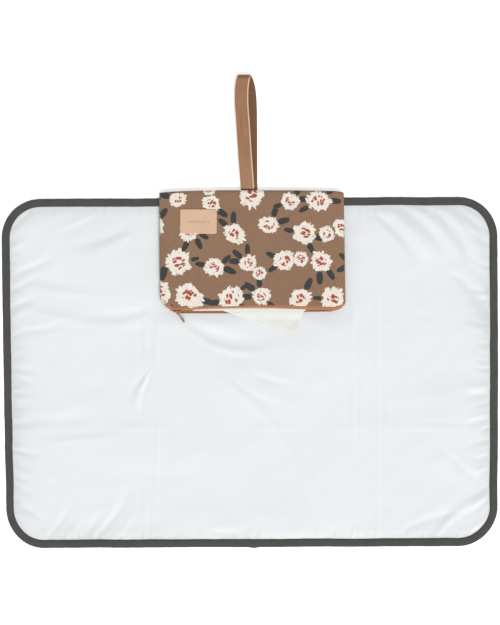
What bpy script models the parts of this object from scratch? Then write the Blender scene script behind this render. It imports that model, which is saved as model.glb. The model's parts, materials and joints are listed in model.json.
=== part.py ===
"""Travel changing pad: a wipe-clean padded mat that folds in three, with a zipped
pouch hinged along its top edge and a leather wrist strap.

Units are metres and +Z is up. The origin is the centre of the mat's underside, +X runs
along the mat's long side and +Y runs towards the pouch and the strap. The mat lies open
and flat, and the pouch lies on it with its zip open.
"""

import math

import bmesh
import bpy
from mathutils import Matrix, Vector

# The mat: outline, layers from the underside up, and the binding round the edge.
MAT_HALF_WIDTH = 0.350
MAT_HALF_DEPTH = 0.246
MAT_CORNER_RADIUS = 0.052
CREASE_X = 0.136
CREASE_CLEARANCE = 0.00015
BACKING_LOW, BACKING_HIGH = 0.0, 0.0004
WADDING_LOW, WADDING_HIGH = 0.0005, 0.0016
TOP_SHEET_LOW, TOP_SHEET_HIGH = 0.0017, 0.0020
BINDING_WIDTH = 0.0115
BINDING_HEIGHT = 0.0027
BINDING_THICKNESS = 0.0004
BINDING_EDGE_THICKNESS = 0.0008
LAYER_INSET = BINDING_WIDTH + 0.0003
SHEET_INSET = 0.0020
CORNER_STEPS = 9

# The pouch: two canvas panels, a fold along the top and a seam at each side.
POUCH_LEFT = -0.127
POUCH_RIGHT = 0.133
PANEL_BOTTOM = 0.0935
PANEL_TOP = 0.2521
POUCH_TOP = 0.2565
PANEL_THICKNESS = 0.0006
BACK_PANEL_LOW = 0.0030
FRONT_PANEL_LOW = 0.0106
FRONT_PANEL_HIGH = FRONT_PANEL_LOW + PANEL_THICKNESS
LEFT_CHAMFER = 0.0100
RIGHT_CORNER_RADIUS = 0.0170
SEAM_THICKNESS = 0.0010
SEAM_LOW, SEAM_HIGH = 0.0039, 0.0103
SEAM_INSET = 0.0008
SEAM_TOP = 0.2515
LEFT_SEAM_FOOT = (-0.1160, 0.0905)
RIGHT_SEAM_FOOT = (0.1210, 0.0905)

# The tape that carries the pouch on the mat's top edge.
HINGE_TAPE_LOW_Y, HINGE_TAPE_HIGH_Y = 0.2463, 0.2590
HINGE_TAPE_THICKNESS = 0.0006

# The zip along the pouch's lower edge, with its two coils one above the other.
TAPE_LEFT, TAPE_RIGHT = -0.1130, 0.1180
TAPE_BOTTOM, TAPE_TOP = 0.0876, 0.1030
TAPE_THICKNESS = 0.0004
BACK_TAPE_LOW = 0.0039
FRONT_TAPE_LOW = 0.0101
COIL_LEFT, COIL_RIGHT = -0.1075, 0.1120
COIL_Y = 0.0868
COIL_RADIUS = 0.0005
COIL_PITCH = 0.0040
COIL_WAIST = 0.7
BACK_COIL_Z = BACK_TAPE_LOW + TAPE_THICKNESS / 2
FRONT_COIL_Z = FRONT_TAPE_LOW + TAPE_THICKNESS / 2
STOP_Y_LOW, STOP_Y_HIGH = 0.0862, 0.0874
STOP_LENGTH = 0.0020
STOP_MARGIN = 0.0007

# The zip slider and its pull.
SLIDER_X = -0.101
SLIDER_LENGTH = 0.010
SLIDER_Z = (BACK_COIL_Z + FRONT_COIL_Z) / 2
SLIDER_HALF_HEIGHT = 0.0045
SLIDER_FRONT_LOW, SLIDER_FRONT_HIGH = 0.0846, 0.0857
SLIDER_LIP_HIGH = 0.0870
SLIDER_LIP_THICKNESS = 0.0005
SLIDER_BACK_LOW, SLIDER_BACK_HIGH = 0.0880, 0.0889
SLIDER_BACK_HALF_HEIGHT = 0.0018
SLIDER_NECK_HALF_LENGTH = 0.0030
SLIDER_NECK_HALF_HEIGHT = 0.0012
LUG_HALF_LENGTH = 0.0013
LUG_THICKNESS = 0.0008
LUG_OFFSET = 0.0020
LUG_REACH = 0.0030
JOIN_OVERLAP = 0.0002
PULL_PIN_Y = 0.0826
PULL_PIN_RADIUS = 0.0006
PULL_EYE_RADIUS = 0.0015
PULL_HOLE_RADIUS = 0.00095
PULL_LENGTH = 0.0170
PULL_HALF_THICKNESS = 0.0007
PULL_HALF_WIDTH = 0.0017
PULL_ANGLE = math.radians(-58)

# The leather tag on the pouch's front.
TAG_LEFT, TAG_RIGHT = -0.0975, -0.0462
TAG_BOTTOM, TAG_TOP = 0.1949, 0.2292
TAG_LOW = FRONT_PANEL_HIGH + 0.0001
TAG_THICKNESS = 0.0010
TAG_CORNER_RADIUS = 0.0025
TAG_CORNER_STEPS = 3

# The square cloth kept in the pouch, one corner of which hangs out of the zip.
CLOTH_CORNER = (0.0650, 0.0530)
CLOTH_LONG_SIDE = 0.130
CLOTH_SHORT_SIDE = 0.110
CLOTH_TURN = math.radians(161.3)
CLOTH_LOW, CLOTH_HIGH = 0.0049, 0.0054

# The wrist strap: one leather band, folded over at its far end.
STRAP_X = -0.004
STRAP_WIDTH = 0.024
STRAP_THICKNESS = 0.0018
STRAP_BASE_Y = 0.2605
STRAP_LOWER_BASE_Z = 0.0036
STRAP_UPPER_BASE_Z = 0.0059
STRAP_LOWER_Z = 0.0011
STRAP_UPPER_Z = 0.0115
STRAP_LOWER_REST_Y = 0.305
STRAP_UPPER_REST_Y = 0.325
STRAP_TIP_Y = 0.419
STRAP_EASE_STEPS = 6
STRAP_TIP_STEPS = 12

# Joint axes. A wing's axis stands above the mat, so that the wing folds clear of what
# lies on the mat: the tag under the left wing, and the left wing under the right one.
# A wing stops half a degree short of flat, so its free edge stands a little higher.
FOLD_GAP = 0.0004
FOLD_SHORTFALL = math.radians(0.5)
WING_RISE = (MAT_HALF_WIDTH - CREASE_X) * math.sin(FOLD_SHORTFALL)
TAG_HIGH = TAG_LOW + TAG_THICKNESS
LEFT_FOLD_Z = (TAG_HIGH + FOLD_GAP + BINDING_HEIGHT) / 2
RIGHT_FOLD_Z = (2 * LEFT_FOLD_Z + WING_RISE + FOLD_GAP + BINDING_HEIGHT) / 2
FLAP_AXIS = (0.0, 0.258, 0.009)
STRAP_AXIS = (STRAP_X, 0.262, 0.00475)

# Colours, linear, with a roughness and a metallic value.
FINISHES = {
    "coated_sheet": ((0.83, 0.87, 0.88), 0.45, 0.0),
    "wadding": ((0.80, 0.80, 0.78), 0.95, 0.0),
    "floral_canvas": ((0.30, 0.19, 0.12), 0.90, 0.0),
    "binding": ((0.07, 0.07, 0.065), 0.80, 0.0),
    "zip_tape": ((0.54, 0.22, 0.11), 0.85, 0.0),
    "zip_teeth": ((0.45, 0.20, 0.11), 0.50, 0.0),
    "zip_metal": ((0.55, 0.32, 0.20), 0.35, 1.0),
    "tag_leather": ((0.72, 0.48, 0.31), 0.60, 0.0),
    "strap_leather": ((0.38, 0.20, 0.10), 0.55, 0.0),
    "cotton_cloth": ((0.90, 0.89, 0.85), 0.90, 0.0),
}


def clear_scene():
    """Remove every object that a new file holds."""
    for item in list(bpy.data.objects):
        bpy.data.objects.remove(item)


def new_collection(name):
    """Add a collection to the scene."""
    collection = bpy.data.collections.new(name)
    bpy.context.scene.collection.children.link(collection)
    return collection


def new_material(finish, name):
    """Make a piece's own Principled material from the table of finishes."""
    colour, roughness, metallic = FINISHES[finish]
    material = bpy.data.materials.new(name)
    material.use_nodes = True
    shader = material.node_tree.nodes["Principled BSDF"]
    shader.inputs["Base Color"].default_value = (*colour, 1.0)
    shader.inputs["Roughness"].default_value = roughness
    shader.inputs["Metallic"].default_value = metallic
    material.diffuse_color = (*colour, 1.0)
    return material


class Pivot:
    """An empty on a joint's axis, which the pieces of a moving body hang on."""

    def __init__(self, name, place, parent=None):
        self.place = Vector(place)
        self.empty = bpy.data.objects.new(name, None)
        self.empty.empty_display_size = 0.01
        self.empty.location = self.place
        if parent:
            self.empty.parent = parent.empty
            self.empty.location = self.place - parent.place
        PARTS.objects.link(self.empty)


def add_piece(name, data, finish, place, pivot=None):
    """Link one named piece at a place in the world, on its body's pivot if it moves."""
    piece = bpy.data.objects.new(name, data)
    data.materials.append(new_material(finish, name + "_material"))
    piece.location = Vector(place)
    if pivot:
        piece.parent = pivot.empty
        piece.location = Vector(place) - pivot.place
    PARTS.objects.link(piece)
    return piece


def add_cutter(name, data, place=(0.0, 0.0, 0.0)):
    """Link a helper that shapes a piece and isn't a piece itself."""
    cutter = bpy.data.objects.new(name, data)
    cutter.location = place
    cutter.hide_render = True
    cutter.display_type = "WIRE"
    CUTTERS.objects.link(cutter)
    return cutter


def arc(centre, radius, start, end, steps):
    """Points along an arc, both ends included. Angles are in degrees."""
    points = []
    for step in range(steps + 1):
        angle = math.radians(start + (end - start) * step / steps)
        points.append((centre[0] + radius * math.cos(angle), centre[1] + radius * math.sin(angle)))
    return points


def add_polyline(curve, points, closed):
    """Add a straight-sided spline through 2D points."""
    spline = curve.splines.new("POLY")
    spline.points.add(len(points) - 1)
    for spline_point, (x, y) in zip(spline.points, points):
        spline_point.co = (x, y, 0.0, 1.0)
    spline.use_cyclic_u = closed
    return spline


def new_curve(name, fill):
    """Make an empty 2D curve."""
    curve = bpy.data.curves.new(name, "CURVE")
    curve.dimensions = "2D"
    curve.fill_mode = fill
    return curve


def flat_piece(name, outlines, low, high, finish, pivot=None):
    """A piece cut from flat stock, from closed outlines, the second and on being holes."""
    curve = new_curve(name, "BOTH")
    curve.extrude = (high - low) / 2
    for outline in outlines:
        add_polyline(curve, outline, closed=True)
    return add_piece(name, curve, finish, (0.0, 0.0, (low + high) / 2), pivot)


def box_mesh(name, size):
    """A box centred on its own origin."""
    mesh = bpy.data.meshes.new(name)
    shape = bmesh.new()
    bmesh.ops.create_cube(shape, size=1.0, matrix=Matrix.Diagonal((*size, 1.0)))
    shape.to_mesh(mesh)
    shape.free()
    return mesh


def box_between(name, low, high):
    """A box mesh between two corners, and the place of its centre."""
    low = Vector(low)
    high = Vector(high)
    return box_mesh(name, high - low), (low + high) / 2


def box_piece(name, low, high, finish, pivot=None):
    """A plain box between two corners."""
    mesh, centre = box_between(name, low, high)
    return add_piece(name, mesh, finish, centre, pivot)


def rectangle(left, bottom, right, top):
    """The four corners of an upright rectangle."""
    return [(left, bottom), (right, bottom), (right, top), (left, top)]


def mirrored(points):
    """The same outline on the other side of the mat's centre line, kept in its turn."""
    return [(-x, y) for x, y in reversed(points)]


def left_wing_outline(inset):
    """The left wing's outline, clockwise from its lower crease corner to its upper one."""
    edge_x = -MAT_HALF_WIDTH + inset
    edge_y = MAT_HALF_DEPTH - inset
    radius = MAT_CORNER_RADIUS - inset
    crease_x = -CREASE_X - CREASE_CLEARANCE
    outline = [(crease_x, -edge_y)]
    outline += arc((edge_x + radius, -edge_y + radius), radius, 270, 180, CORNER_STEPS)
    outline += arc((edge_x + radius, edge_y - radius), radius, 180, 90, CORNER_STEPS)
    outline.append((crease_x, edge_y))
    return outline


def centre_outline(inset):
    """The centre column's outline, between the two creases."""
    crease_x = CREASE_X - CREASE_CLEARANCE
    edge_y = MAT_HALF_DEPTH - inset
    return rectangle(-crease_x, -edge_y, crease_x, edge_y)


def make_mat_layers(side, outline_of, pivot=None):
    """Backing, wadding and top sheet of one column of the mat."""
    layers = (
        ("backing", LAYER_INSET, BACKING_LOW, BACKING_HIGH, "floral_canvas"),
        ("wadding", LAYER_INSET, WADDING_LOW, WADDING_HIGH, "wadding"),
        ("top_sheet", SHEET_INSET, TOP_SHEET_LOW, TOP_SHEET_HIGH, "coated_sheet"),
    )
    for layer, inset, low, high, finish in layers:
        flat_piece(layer + "_" + side, [outline_of(inset)], low, high, finish, pivot)


def make_binding_section():
    """The folded tape's cross-section: a C that opens towards the mat's middle."""
    width = BINDING_WIDTH
    top = BINDING_HEIGHT
    skin = BINDING_THICKNESS
    edge = BINDING_EDGE_THICKNESS
    curve = new_curve("binding_section", "NONE")
    section = [(0, 0), (0, top), (width, top), (width, top - skin), (edge, top - skin), (edge, skin)]
    section += [(width, skin), (width, 0)]
    add_polyline(curve, section, closed=True)
    return add_cutter("binding_section", curve)


def make_binding(name, path, section, pivot=None):
    """One length of binding, swept clockwise round the mat so that its C opens inwards."""
    curve = new_curve(name, "NONE")
    curve.bevel_mode = "OBJECT"
    curve.bevel_object = section
    curve.use_fill_caps = True
    add_polyline(curve, path, closed=False)
    return add_piece(name, curve, "binding", (0.0, 0.0, 0.0), pivot)


def make_mat():
    """The mat in three columns, which fold along two creases."""
    left_pivot = Pivot("left_fold_axis", (-CREASE_X, 0.0, LEFT_FOLD_Z))
    right_pivot = Pivot("right_fold_axis", (CREASE_X, 0.0, RIGHT_FOLD_Z))
    make_mat_layers("centre", centre_outline)
    make_mat_layers("left", left_wing_outline, left_pivot)
    make_mat_layers("right", lambda inset: mirrored(left_wing_outline(inset)), right_pivot)
    section = make_binding_section()
    crease_x = CREASE_X - CREASE_CLEARANCE
    top_path = [(-crease_x, MAT_HALF_DEPTH), (crease_x, MAT_HALF_DEPTH)]
    bottom_path = [(crease_x, -MAT_HALF_DEPTH), (-crease_x, -MAT_HALF_DEPTH)]
    make_binding("binding_top", top_path, section)
    make_binding("binding_bottom", bottom_path, section)
    make_binding("binding_left", left_wing_outline(0.0), section, left_pivot)
    make_binding("binding_right", mirrored(left_wing_outline(0.0)), section, right_pivot)
    tape_low = (POUCH_LEFT, HINGE_TAPE_LOW_Y, 0.0)
    tape_high = (POUCH_RIGHT, HINGE_TAPE_HIGH_Y, HINGE_TAPE_THICKNESS)
    box_piece("hinge_tape", tape_low, tape_high, "binding")


def panel_outline():
    """A pouch panel: its left foot is cut off at an angle and its right foot is round."""
    centre = (POUCH_RIGHT - RIGHT_CORNER_RADIUS, PANEL_BOTTOM + RIGHT_CORNER_RADIUS)
    outline = [(POUCH_LEFT, PANEL_TOP), (POUCH_LEFT, PANEL_BOTTOM + LEFT_CHAMFER)]
    outline.append((POUCH_LEFT + LEFT_CHAMFER, PANEL_BOTTOM))
    outline += arc(centre, RIGHT_CORNER_RADIUS, 270, 360, CORNER_STEPS)
    outline.append((POUCH_RIGHT, PANEL_TOP))
    return outline


def make_top_fold(pivot):
    """The canvas turned over at the pouch's top, as half a flattened tube."""
    middle_z = (BACK_PANEL_LOW + FRONT_PANEL_HIGH) / 2
    half_height = (FRONT_PANEL_HIGH - BACK_PANEL_LOW) / 2
    start_y = PANEL_TOP + 0.0003
    reach = POUCH_TOP - start_y
    steps = 8
    outline = []
    for step in range(steps + 1):
        angle = math.pi * (step / steps - 0.5)
        outline.append((start_y + reach * math.cos(angle), middle_z + half_height * math.sin(angle)))
    inner_half_height = half_height - PANEL_THICKNESS
    inner_reach = reach - PANEL_THICKNESS
    for step in range(steps + 1):
        angle = math.pi * (0.5 - step / steps)
        inner_z = middle_z + inner_half_height * math.sin(angle)
        outline.append((start_y + inner_reach * math.cos(angle), inner_z))
    curve = new_curve("pouch_top_fold", "BOTH")
    curve.extrude = (POUCH_RIGHT - POUCH_LEFT) / 2
    add_polyline(curve, outline, closed=True)
    middle_x = (POUCH_LEFT + POUCH_RIGHT) / 2
    fold = add_piece("pouch_top_fold", curve, "floral_canvas", (middle_x, 0.0, 0.0), pivot)
    fold.rotation_euler = (math.pi / 2, 0.0, math.pi / 2)


def make_side_seam(name, path, pivot):
    """A side seam: a standing strip of canvas between the two panels."""
    curve = new_curve(name, "NONE")
    curve.extrude = (SEAM_HIGH - SEAM_LOW) / 2
    add_polyline(curve, path, closed=False)
    seam = add_piece(name, curve, "floral_canvas", (0.0, 0.0, (SEAM_LOW + SEAM_HIGH) / 2), pivot)
    solidify = seam.modifiers.new("thickness", "SOLIDIFY")
    solidify.thickness = SEAM_THICKNESS
    solidify.offset = 0.0


def make_pouch(pivot):
    """The pouch's canvas and the leather tag on its front."""
    back_high = BACK_PANEL_LOW + PANEL_THICKNESS
    flat_piece("pouch_back_panel", [panel_outline()], BACK_PANEL_LOW, back_high, "floral_canvas", pivot)
    flat_piece(
        "pouch_front_panel", [panel_outline()], FRONT_PANEL_LOW, FRONT_PANEL_HIGH, "floral_canvas", pivot
    )
    make_top_fold(pivot)
    left_x = POUCH_LEFT + SEAM_INSET
    left_path = [(left_x, SEAM_TOP), (left_x, PANEL_BOTTOM + LEFT_CHAMFER * 0.5), LEFT_SEAM_FOOT]
    make_side_seam("pouch_side_seam_left", left_path, pivot)
    right_x = POUCH_RIGHT - SEAM_INSET
    radius = RIGHT_CORNER_RADIUS - SEAM_INSET
    foot_centre = (right_x - radius, PANEL_BOTTOM + RIGHT_CORNER_RADIUS)
    right_path = [(right_x, SEAM_TOP)]
    right_path += arc(foot_centre, radius, 0, -60, 5)
    right_path.append(RIGHT_SEAM_FOOT)
    make_side_seam("pouch_side_seam_right", right_path, pivot)
    radius = TAG_CORNER_RADIUS
    tag = arc((TAG_RIGHT - radius, TAG_TOP - radius), radius, 0, 90, TAG_CORNER_STEPS)
    tag += arc((TAG_LEFT + radius, TAG_TOP - radius), radius, 90, 180, TAG_CORNER_STEPS)
    tag += arc((TAG_LEFT + radius, TAG_BOTTOM + radius), radius, 180, 270, TAG_CORNER_STEPS)
    tag += arc((TAG_RIGHT - radius, TAG_BOTTOM + radius), radius, 270, 360, TAG_CORNER_STEPS)
    flat_piece("leather_tag", [tag], TAG_LOW, TAG_HIGH, "tag_leather", pivot)


def make_coil(name, z, pivot):
    """One side's teeth: a nylon coil, drawn as a rod with a rib at each turn."""
    curve = bpy.data.curves.new(name, "CURVE")
    curve.dimensions = "3D"
    curve.bevel_depth = COIL_RADIUS
    curve.bevel_resolution = 1
    curve.use_fill_caps = True
    count = round((COIL_RIGHT - COIL_LEFT) / COIL_PITCH) * 2 + 1
    spline = curve.splines.new("POLY")
    spline.points.add(count - 1)
    for index, point in enumerate(spline.points):
        point.co = (COIL_LEFT + (COIL_RIGHT - COIL_LEFT) * index / (count - 1), 0.0, 0.0, 1.0)
        point.radius = COIL_WAIST if index % 2 else 1.0
    add_piece(name, curve, "zip_teeth", (0.0, COIL_Y, z), pivot)


def make_zip(pivot):
    """Both tapes, both coils and the stops at their ends."""
    tape = rectangle(TAPE_LEFT, TAPE_BOTTOM, TAPE_RIGHT, TAPE_TOP)
    flat_piece("zip_tape_back", [tape], BACK_TAPE_LOW, BACK_TAPE_LOW + TAPE_THICKNESS, "zip_tape", pivot)
    flat_piece("zip_tape_front", [tape], FRONT_TAPE_LOW, FRONT_TAPE_LOW + TAPE_THICKNESS, "zip_tape", pivot)
    make_coil("zip_teeth_back", BACK_COIL_Z, pivot)
    make_coil("zip_teeth_front", FRONT_COIL_Z, pivot)
    reach = COIL_RADIUS + 0.0001
    left_high = COIL_LEFT - STOP_MARGIN
    low = (left_high - STOP_LENGTH, STOP_Y_LOW, BACK_COIL_Z - reach)
    high = (left_high, STOP_Y_HIGH, FRONT_COIL_Z + reach)
    box_piece("zip_bottom_stop", low, high, "zip_metal", pivot)
    right_low = COIL_RIGHT + STOP_MARGIN
    for name, z in (("zip_top_stop_back", BACK_COIL_Z), ("zip_top_stop_front", FRONT_COIL_Z)):
        low = (right_low, STOP_Y_LOW, z - reach)
        high = (right_low + STOP_LENGTH, STOP_Y_HIGH, z + reach)
        box_piece(name, low, high, "zip_metal", pivot)


def join_to(piece, cutter):
    """Join a helper shape to a piece, as one body."""
    boolean = piece.modifiers.new("join_" + cutter.name, "BOOLEAN")
    boolean.operation = "UNION"
    boolean.object = cutter


def make_slider(pivot):
    """The slider: a face plate with lips round both coils, a neck, a back plate and lugs."""
    half = SLIDER_LENGTH / 2
    low = (SLIDER_X - half, SLIDER_FRONT_LOW, SLIDER_Z - SLIDER_HALF_HEIGHT)
    high = (SLIDER_X + half, SLIDER_FRONT_HIGH, SLIDER_Z + SLIDER_HALF_HEIGHT)
    slider = box_piece("zip_slider", low, high, "zip_metal", pivot)
    blocks = []
    for side, sign in (("lower", -1), ("upper", 1)):
        outer = SLIDER_Z + sign * SLIDER_HALF_HEIGHT
        inner = outer - sign * SLIDER_LIP_THICKNESS
        lip_low = (SLIDER_X - half, SLIDER_FRONT_HIGH - JOIN_OVERLAP, min(inner, outer))
        lip_high = (SLIDER_X + half, SLIDER_LIP_HIGH, max(inner, outer))
        blocks.append((side + "_lip", lip_low, lip_high))
        near = SLIDER_Z + sign * LUG_OFFSET
        far = near + sign * LUG_THICKNESS
        lug_low_y = SLIDER_FRONT_LOW - LUG_REACH
        lug_low = (SLIDER_X - LUG_HALF_LENGTH, lug_low_y, min(near, far))
        lug_high = (SLIDER_X + LUG_HALF_LENGTH, SLIDER_FRONT_LOW + JOIN_OVERLAP, max(near, far))
        blocks.append((side + "_lug", lug_low, lug_high))
    neck_low = (
        SLIDER_X - SLIDER_NECK_HALF_LENGTH,
        SLIDER_FRONT_HIGH - JOIN_OVERLAP,
        SLIDER_Z - SLIDER_NECK_HALF_HEIGHT,
    )
    neck_high = (
        SLIDER_X + SLIDER_NECK_HALF_LENGTH,
        SLIDER_BACK_LOW + JOIN_OVERLAP,
        SLIDER_Z + SLIDER_NECK_HALF_HEIGHT,
    )
    blocks.append(("slider_neck", neck_low, neck_high))
    back_low = (SLIDER_X - half, SLIDER_BACK_LOW, SLIDER_Z - SLIDER_BACK_HALF_HEIGHT)
    back_high = (SLIDER_X + half, SLIDER_BACK_HIGH, SLIDER_Z + SLIDER_BACK_HALF_HEIGHT)
    blocks.append(("slider_back_plate", back_low, back_high))
    for name, block_low, block_high in blocks:
        mesh, centre = box_between(name, block_low, block_high)
        join_to(slider, add_cutter(name, mesh, centre))
    pin_mesh = bpy.data.meshes.new("pull_pin")
    pin_shape = bmesh.new()
    pin_length = 2 * (LUG_OFFSET + LUG_THICKNESS / 2)
    bmesh.ops.create_cone(
        pin_shape,
        cap_ends=True,
        segments=16,
        radius1=PULL_PIN_RADIUS,
        radius2=PULL_PIN_RADIUS,
        depth=pin_length,
    )
    pin_shape.to_mesh(pin_mesh)
    pin_shape.free()
    join_to(slider, add_cutter("pull_pin", pin_mesh, (SLIDER_X, PULL_PIN_Y, SLIDER_Z)))


def make_pull(pivot):
    """The pull: an eye round the slider's pin and a narrow arm, drawn along local +X."""
    curve = new_curve("zip_pull", "BOTH")
    curve.extrude = PULL_HALF_WIDTH
    meet = math.degrees(math.asin(PULL_HALF_THICKNESS / PULL_EYE_RADIUS))
    outline = arc((0.0, 0.0), PULL_EYE_RADIUS, meet, 360 - meet, 16)
    end_centre = (PULL_LENGTH - PULL_HALF_THICKNESS, 0.0)
    outline += arc(end_centre, PULL_HALF_THICKNESS, -90, 90, 6)
    add_polyline(curve, outline, closed=True)
    add_polyline(curve, arc((0.0, 0.0), PULL_HOLE_RADIUS, 0, 337.5, 15), closed=True)
    pull = add_piece("zip_pull", curve, "zip_metal", (SLIDER_X, PULL_PIN_Y, SLIDER_Z), pivot)
    pull.rotation_euler = (0.0, 0.0, PULL_ANGLE)


def make_pocket_cloth(pivot):
    """A folded cotton cloth that lies in the pouch, turned so that one corner hangs out."""
    long_x = CLOTH_LONG_SIDE * math.cos(CLOTH_TURN)
    long_y = CLOTH_LONG_SIDE * math.sin(CLOTH_TURN)
    short_x = CLOTH_SHORT_SIDE * math.sin(CLOTH_TURN)
    short_y = -CLOTH_SHORT_SIDE * math.cos(CLOTH_TURN)
    x, y = CLOTH_CORNER
    outline = [(x, y), (x + short_x, y + short_y)]
    outline.append((x + short_x + long_x, y + short_y + long_y))
    outline.append((x + long_x, y + long_y))
    flat_piece("pocket_cloth", [outline], CLOTH_LOW, CLOTH_HIGH, "cotton_cloth", pivot)


def eased(start, end, steps):
    """Points from start to end that leave and arrive level, along local X."""
    points = []
    for step in range(steps + 1):
        part = step / steps
        rise = part * part * (3 - 2 * part)
        points.append((start[0] + (end[0] - start[0]) * part, start[1] + (end[1] - start[1]) * rise))
    return points


def make_strap():
    """The wrist strap, lying straight out from the mat's top edge, with its two legs apart."""
    pivot = Pivot("strap_axis", STRAP_AXIS)
    radius = (STRAP_UPPER_Z - STRAP_LOWER_Z) / 2
    tip_centre = (STRAP_TIP_Y - STRAP_THICKNESS / 2 - radius, STRAP_LOWER_Z + radius)
    lower_base = (STRAP_BASE_Y, STRAP_LOWER_BASE_Z)
    upper_base = (STRAP_BASE_Y, STRAP_UPPER_BASE_Z)
    path = eased(lower_base, (STRAP_LOWER_REST_Y, STRAP_LOWER_Z), STRAP_EASE_STEPS)
    path += arc(tip_centre, radius, -90, 90, STRAP_TIP_STEPS)
    path += eased((STRAP_UPPER_REST_Y, STRAP_UPPER_Z), upper_base, STRAP_EASE_STEPS)
    curve = new_curve("wrist_strap", "NONE")
    curve.extrude = STRAP_WIDTH / 2
    add_polyline(curve, path, closed=False)
    strap = add_piece("wrist_strap", curve, "strap_leather", (STRAP_X, 0.0, 0.0), pivot)
    strap.rotation_euler = (math.pi / 2, 0.0, math.pi / 2)
    solidify = strap.modifiers.new("thickness", "SOLIDIFY")
    solidify.thickness = STRAP_THICKNESS
    solidify.offset = 0.0


def make_changing_pad():
    """The whole pad, body by body."""
    make_mat()
    flap_pivot = Pivot("pouch_flap_axis", FLAP_AXIS)
    make_pouch(flap_pivot)
    make_zip(flap_pivot)
    slide_pivot = Pivot("zip_slide_origin", (SLIDER_X, COIL_Y, SLIDER_Z), flap_pivot)
    make_slider(slide_pivot)
    pull_pivot = Pivot("pull_axis", (SLIDER_X, PULL_PIN_Y, SLIDER_Z), slide_pivot)
    make_pull(pull_pivot)
    cloth_pivot = Pivot("cloth_slide_origin", (*CLOTH_CORNER, CLOTH_LOW), flap_pivot)
    make_pocket_cloth(cloth_pivot)
    make_strap()


clear_scene()
PARTS = new_collection("changing_pad")
CUTTERS = new_collection("cutters")
make_changing_pad()
bpy.context.view_layer.update()
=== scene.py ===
"""Looks for the travel changing pad: cloth, print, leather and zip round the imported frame.

Units are metres, in the frame's own axes: +X along the mat's long side, +Y towards the
pouch and the strap, +Z up.
"""

import json
import math
import random

import bmesh
import bpy
import numpy as np
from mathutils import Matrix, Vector, noise


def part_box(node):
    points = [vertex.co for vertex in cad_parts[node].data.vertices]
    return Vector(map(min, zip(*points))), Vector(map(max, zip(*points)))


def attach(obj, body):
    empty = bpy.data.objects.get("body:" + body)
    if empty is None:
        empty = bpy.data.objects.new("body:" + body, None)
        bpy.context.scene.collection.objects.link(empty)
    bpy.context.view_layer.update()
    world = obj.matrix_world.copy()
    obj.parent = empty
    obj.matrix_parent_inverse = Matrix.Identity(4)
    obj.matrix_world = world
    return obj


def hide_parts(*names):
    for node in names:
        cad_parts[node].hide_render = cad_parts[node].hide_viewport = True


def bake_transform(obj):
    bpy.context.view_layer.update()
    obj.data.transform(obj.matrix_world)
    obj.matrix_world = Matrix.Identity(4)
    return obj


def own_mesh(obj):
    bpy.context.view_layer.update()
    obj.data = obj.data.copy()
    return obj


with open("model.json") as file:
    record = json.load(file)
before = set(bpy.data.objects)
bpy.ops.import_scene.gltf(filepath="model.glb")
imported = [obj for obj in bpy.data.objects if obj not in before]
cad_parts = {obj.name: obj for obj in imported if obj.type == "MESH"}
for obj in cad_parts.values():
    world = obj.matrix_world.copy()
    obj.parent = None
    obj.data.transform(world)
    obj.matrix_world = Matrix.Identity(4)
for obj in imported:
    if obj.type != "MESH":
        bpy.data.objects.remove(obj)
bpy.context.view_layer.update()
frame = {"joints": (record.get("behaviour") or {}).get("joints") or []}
JOINTS = {joint["name"]: joint for joint in frame["joints"]}

# The mat, from the frame, with the radius of its corners.
HALF_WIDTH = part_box("binding_right")[1].x
HALF_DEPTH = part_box("binding_top")[1].y
BINDING_WIDTH = HALF_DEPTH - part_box("binding_top")[0].y
CORNER_RADIUS = 0.056
SHEET_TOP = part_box("top_sheet_centre")[1].z
SHEET_EDGE_INSET = HALF_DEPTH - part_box("top_sheet_centre")[1].y
WADDING_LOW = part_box("wadding_centre")[0].z
WADDING_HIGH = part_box("wadding_centre")[1].z
LEFT_FOLD = Vector(JOINTS["left_wing_fold"]["pos_m"])
RIGHT_FOLD = Vector(JOINTS["right_wing_fold"]["pos_m"])

# The pouch, from the frame.
POUCH_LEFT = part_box("pouch_front_panel")[0].x
POUCH_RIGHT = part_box("pouch_front_panel")[1].x
HEM_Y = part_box("pouch_front_panel")[0].y
POUCH_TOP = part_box("pouch_top_fold")[1].y
POUCH_LOW_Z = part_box("pouch_back_panel")[0].z
POUCH_HIGH_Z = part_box("pouch_front_panel")[1].z
POUCH_MID_Z = (POUCH_LOW_Z + POUCH_HIGH_Z) / 2
TAG_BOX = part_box("leather_tag")
CLOTH_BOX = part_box("pocket_cloth")
FRONT_COIL_Z = sum(corner.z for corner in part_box("zip_teeth_front")) / 2
BACK_COIL_Z = sum(corner.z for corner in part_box("zip_teeth_back")) / 2
COIL_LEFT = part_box("zip_teeth_front")[0].x
COIL_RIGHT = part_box("zip_teeth_front")[1].x
STRAP_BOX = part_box("wrist_strap")


# ---------------------------------------------------------------- shader helpers


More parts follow.
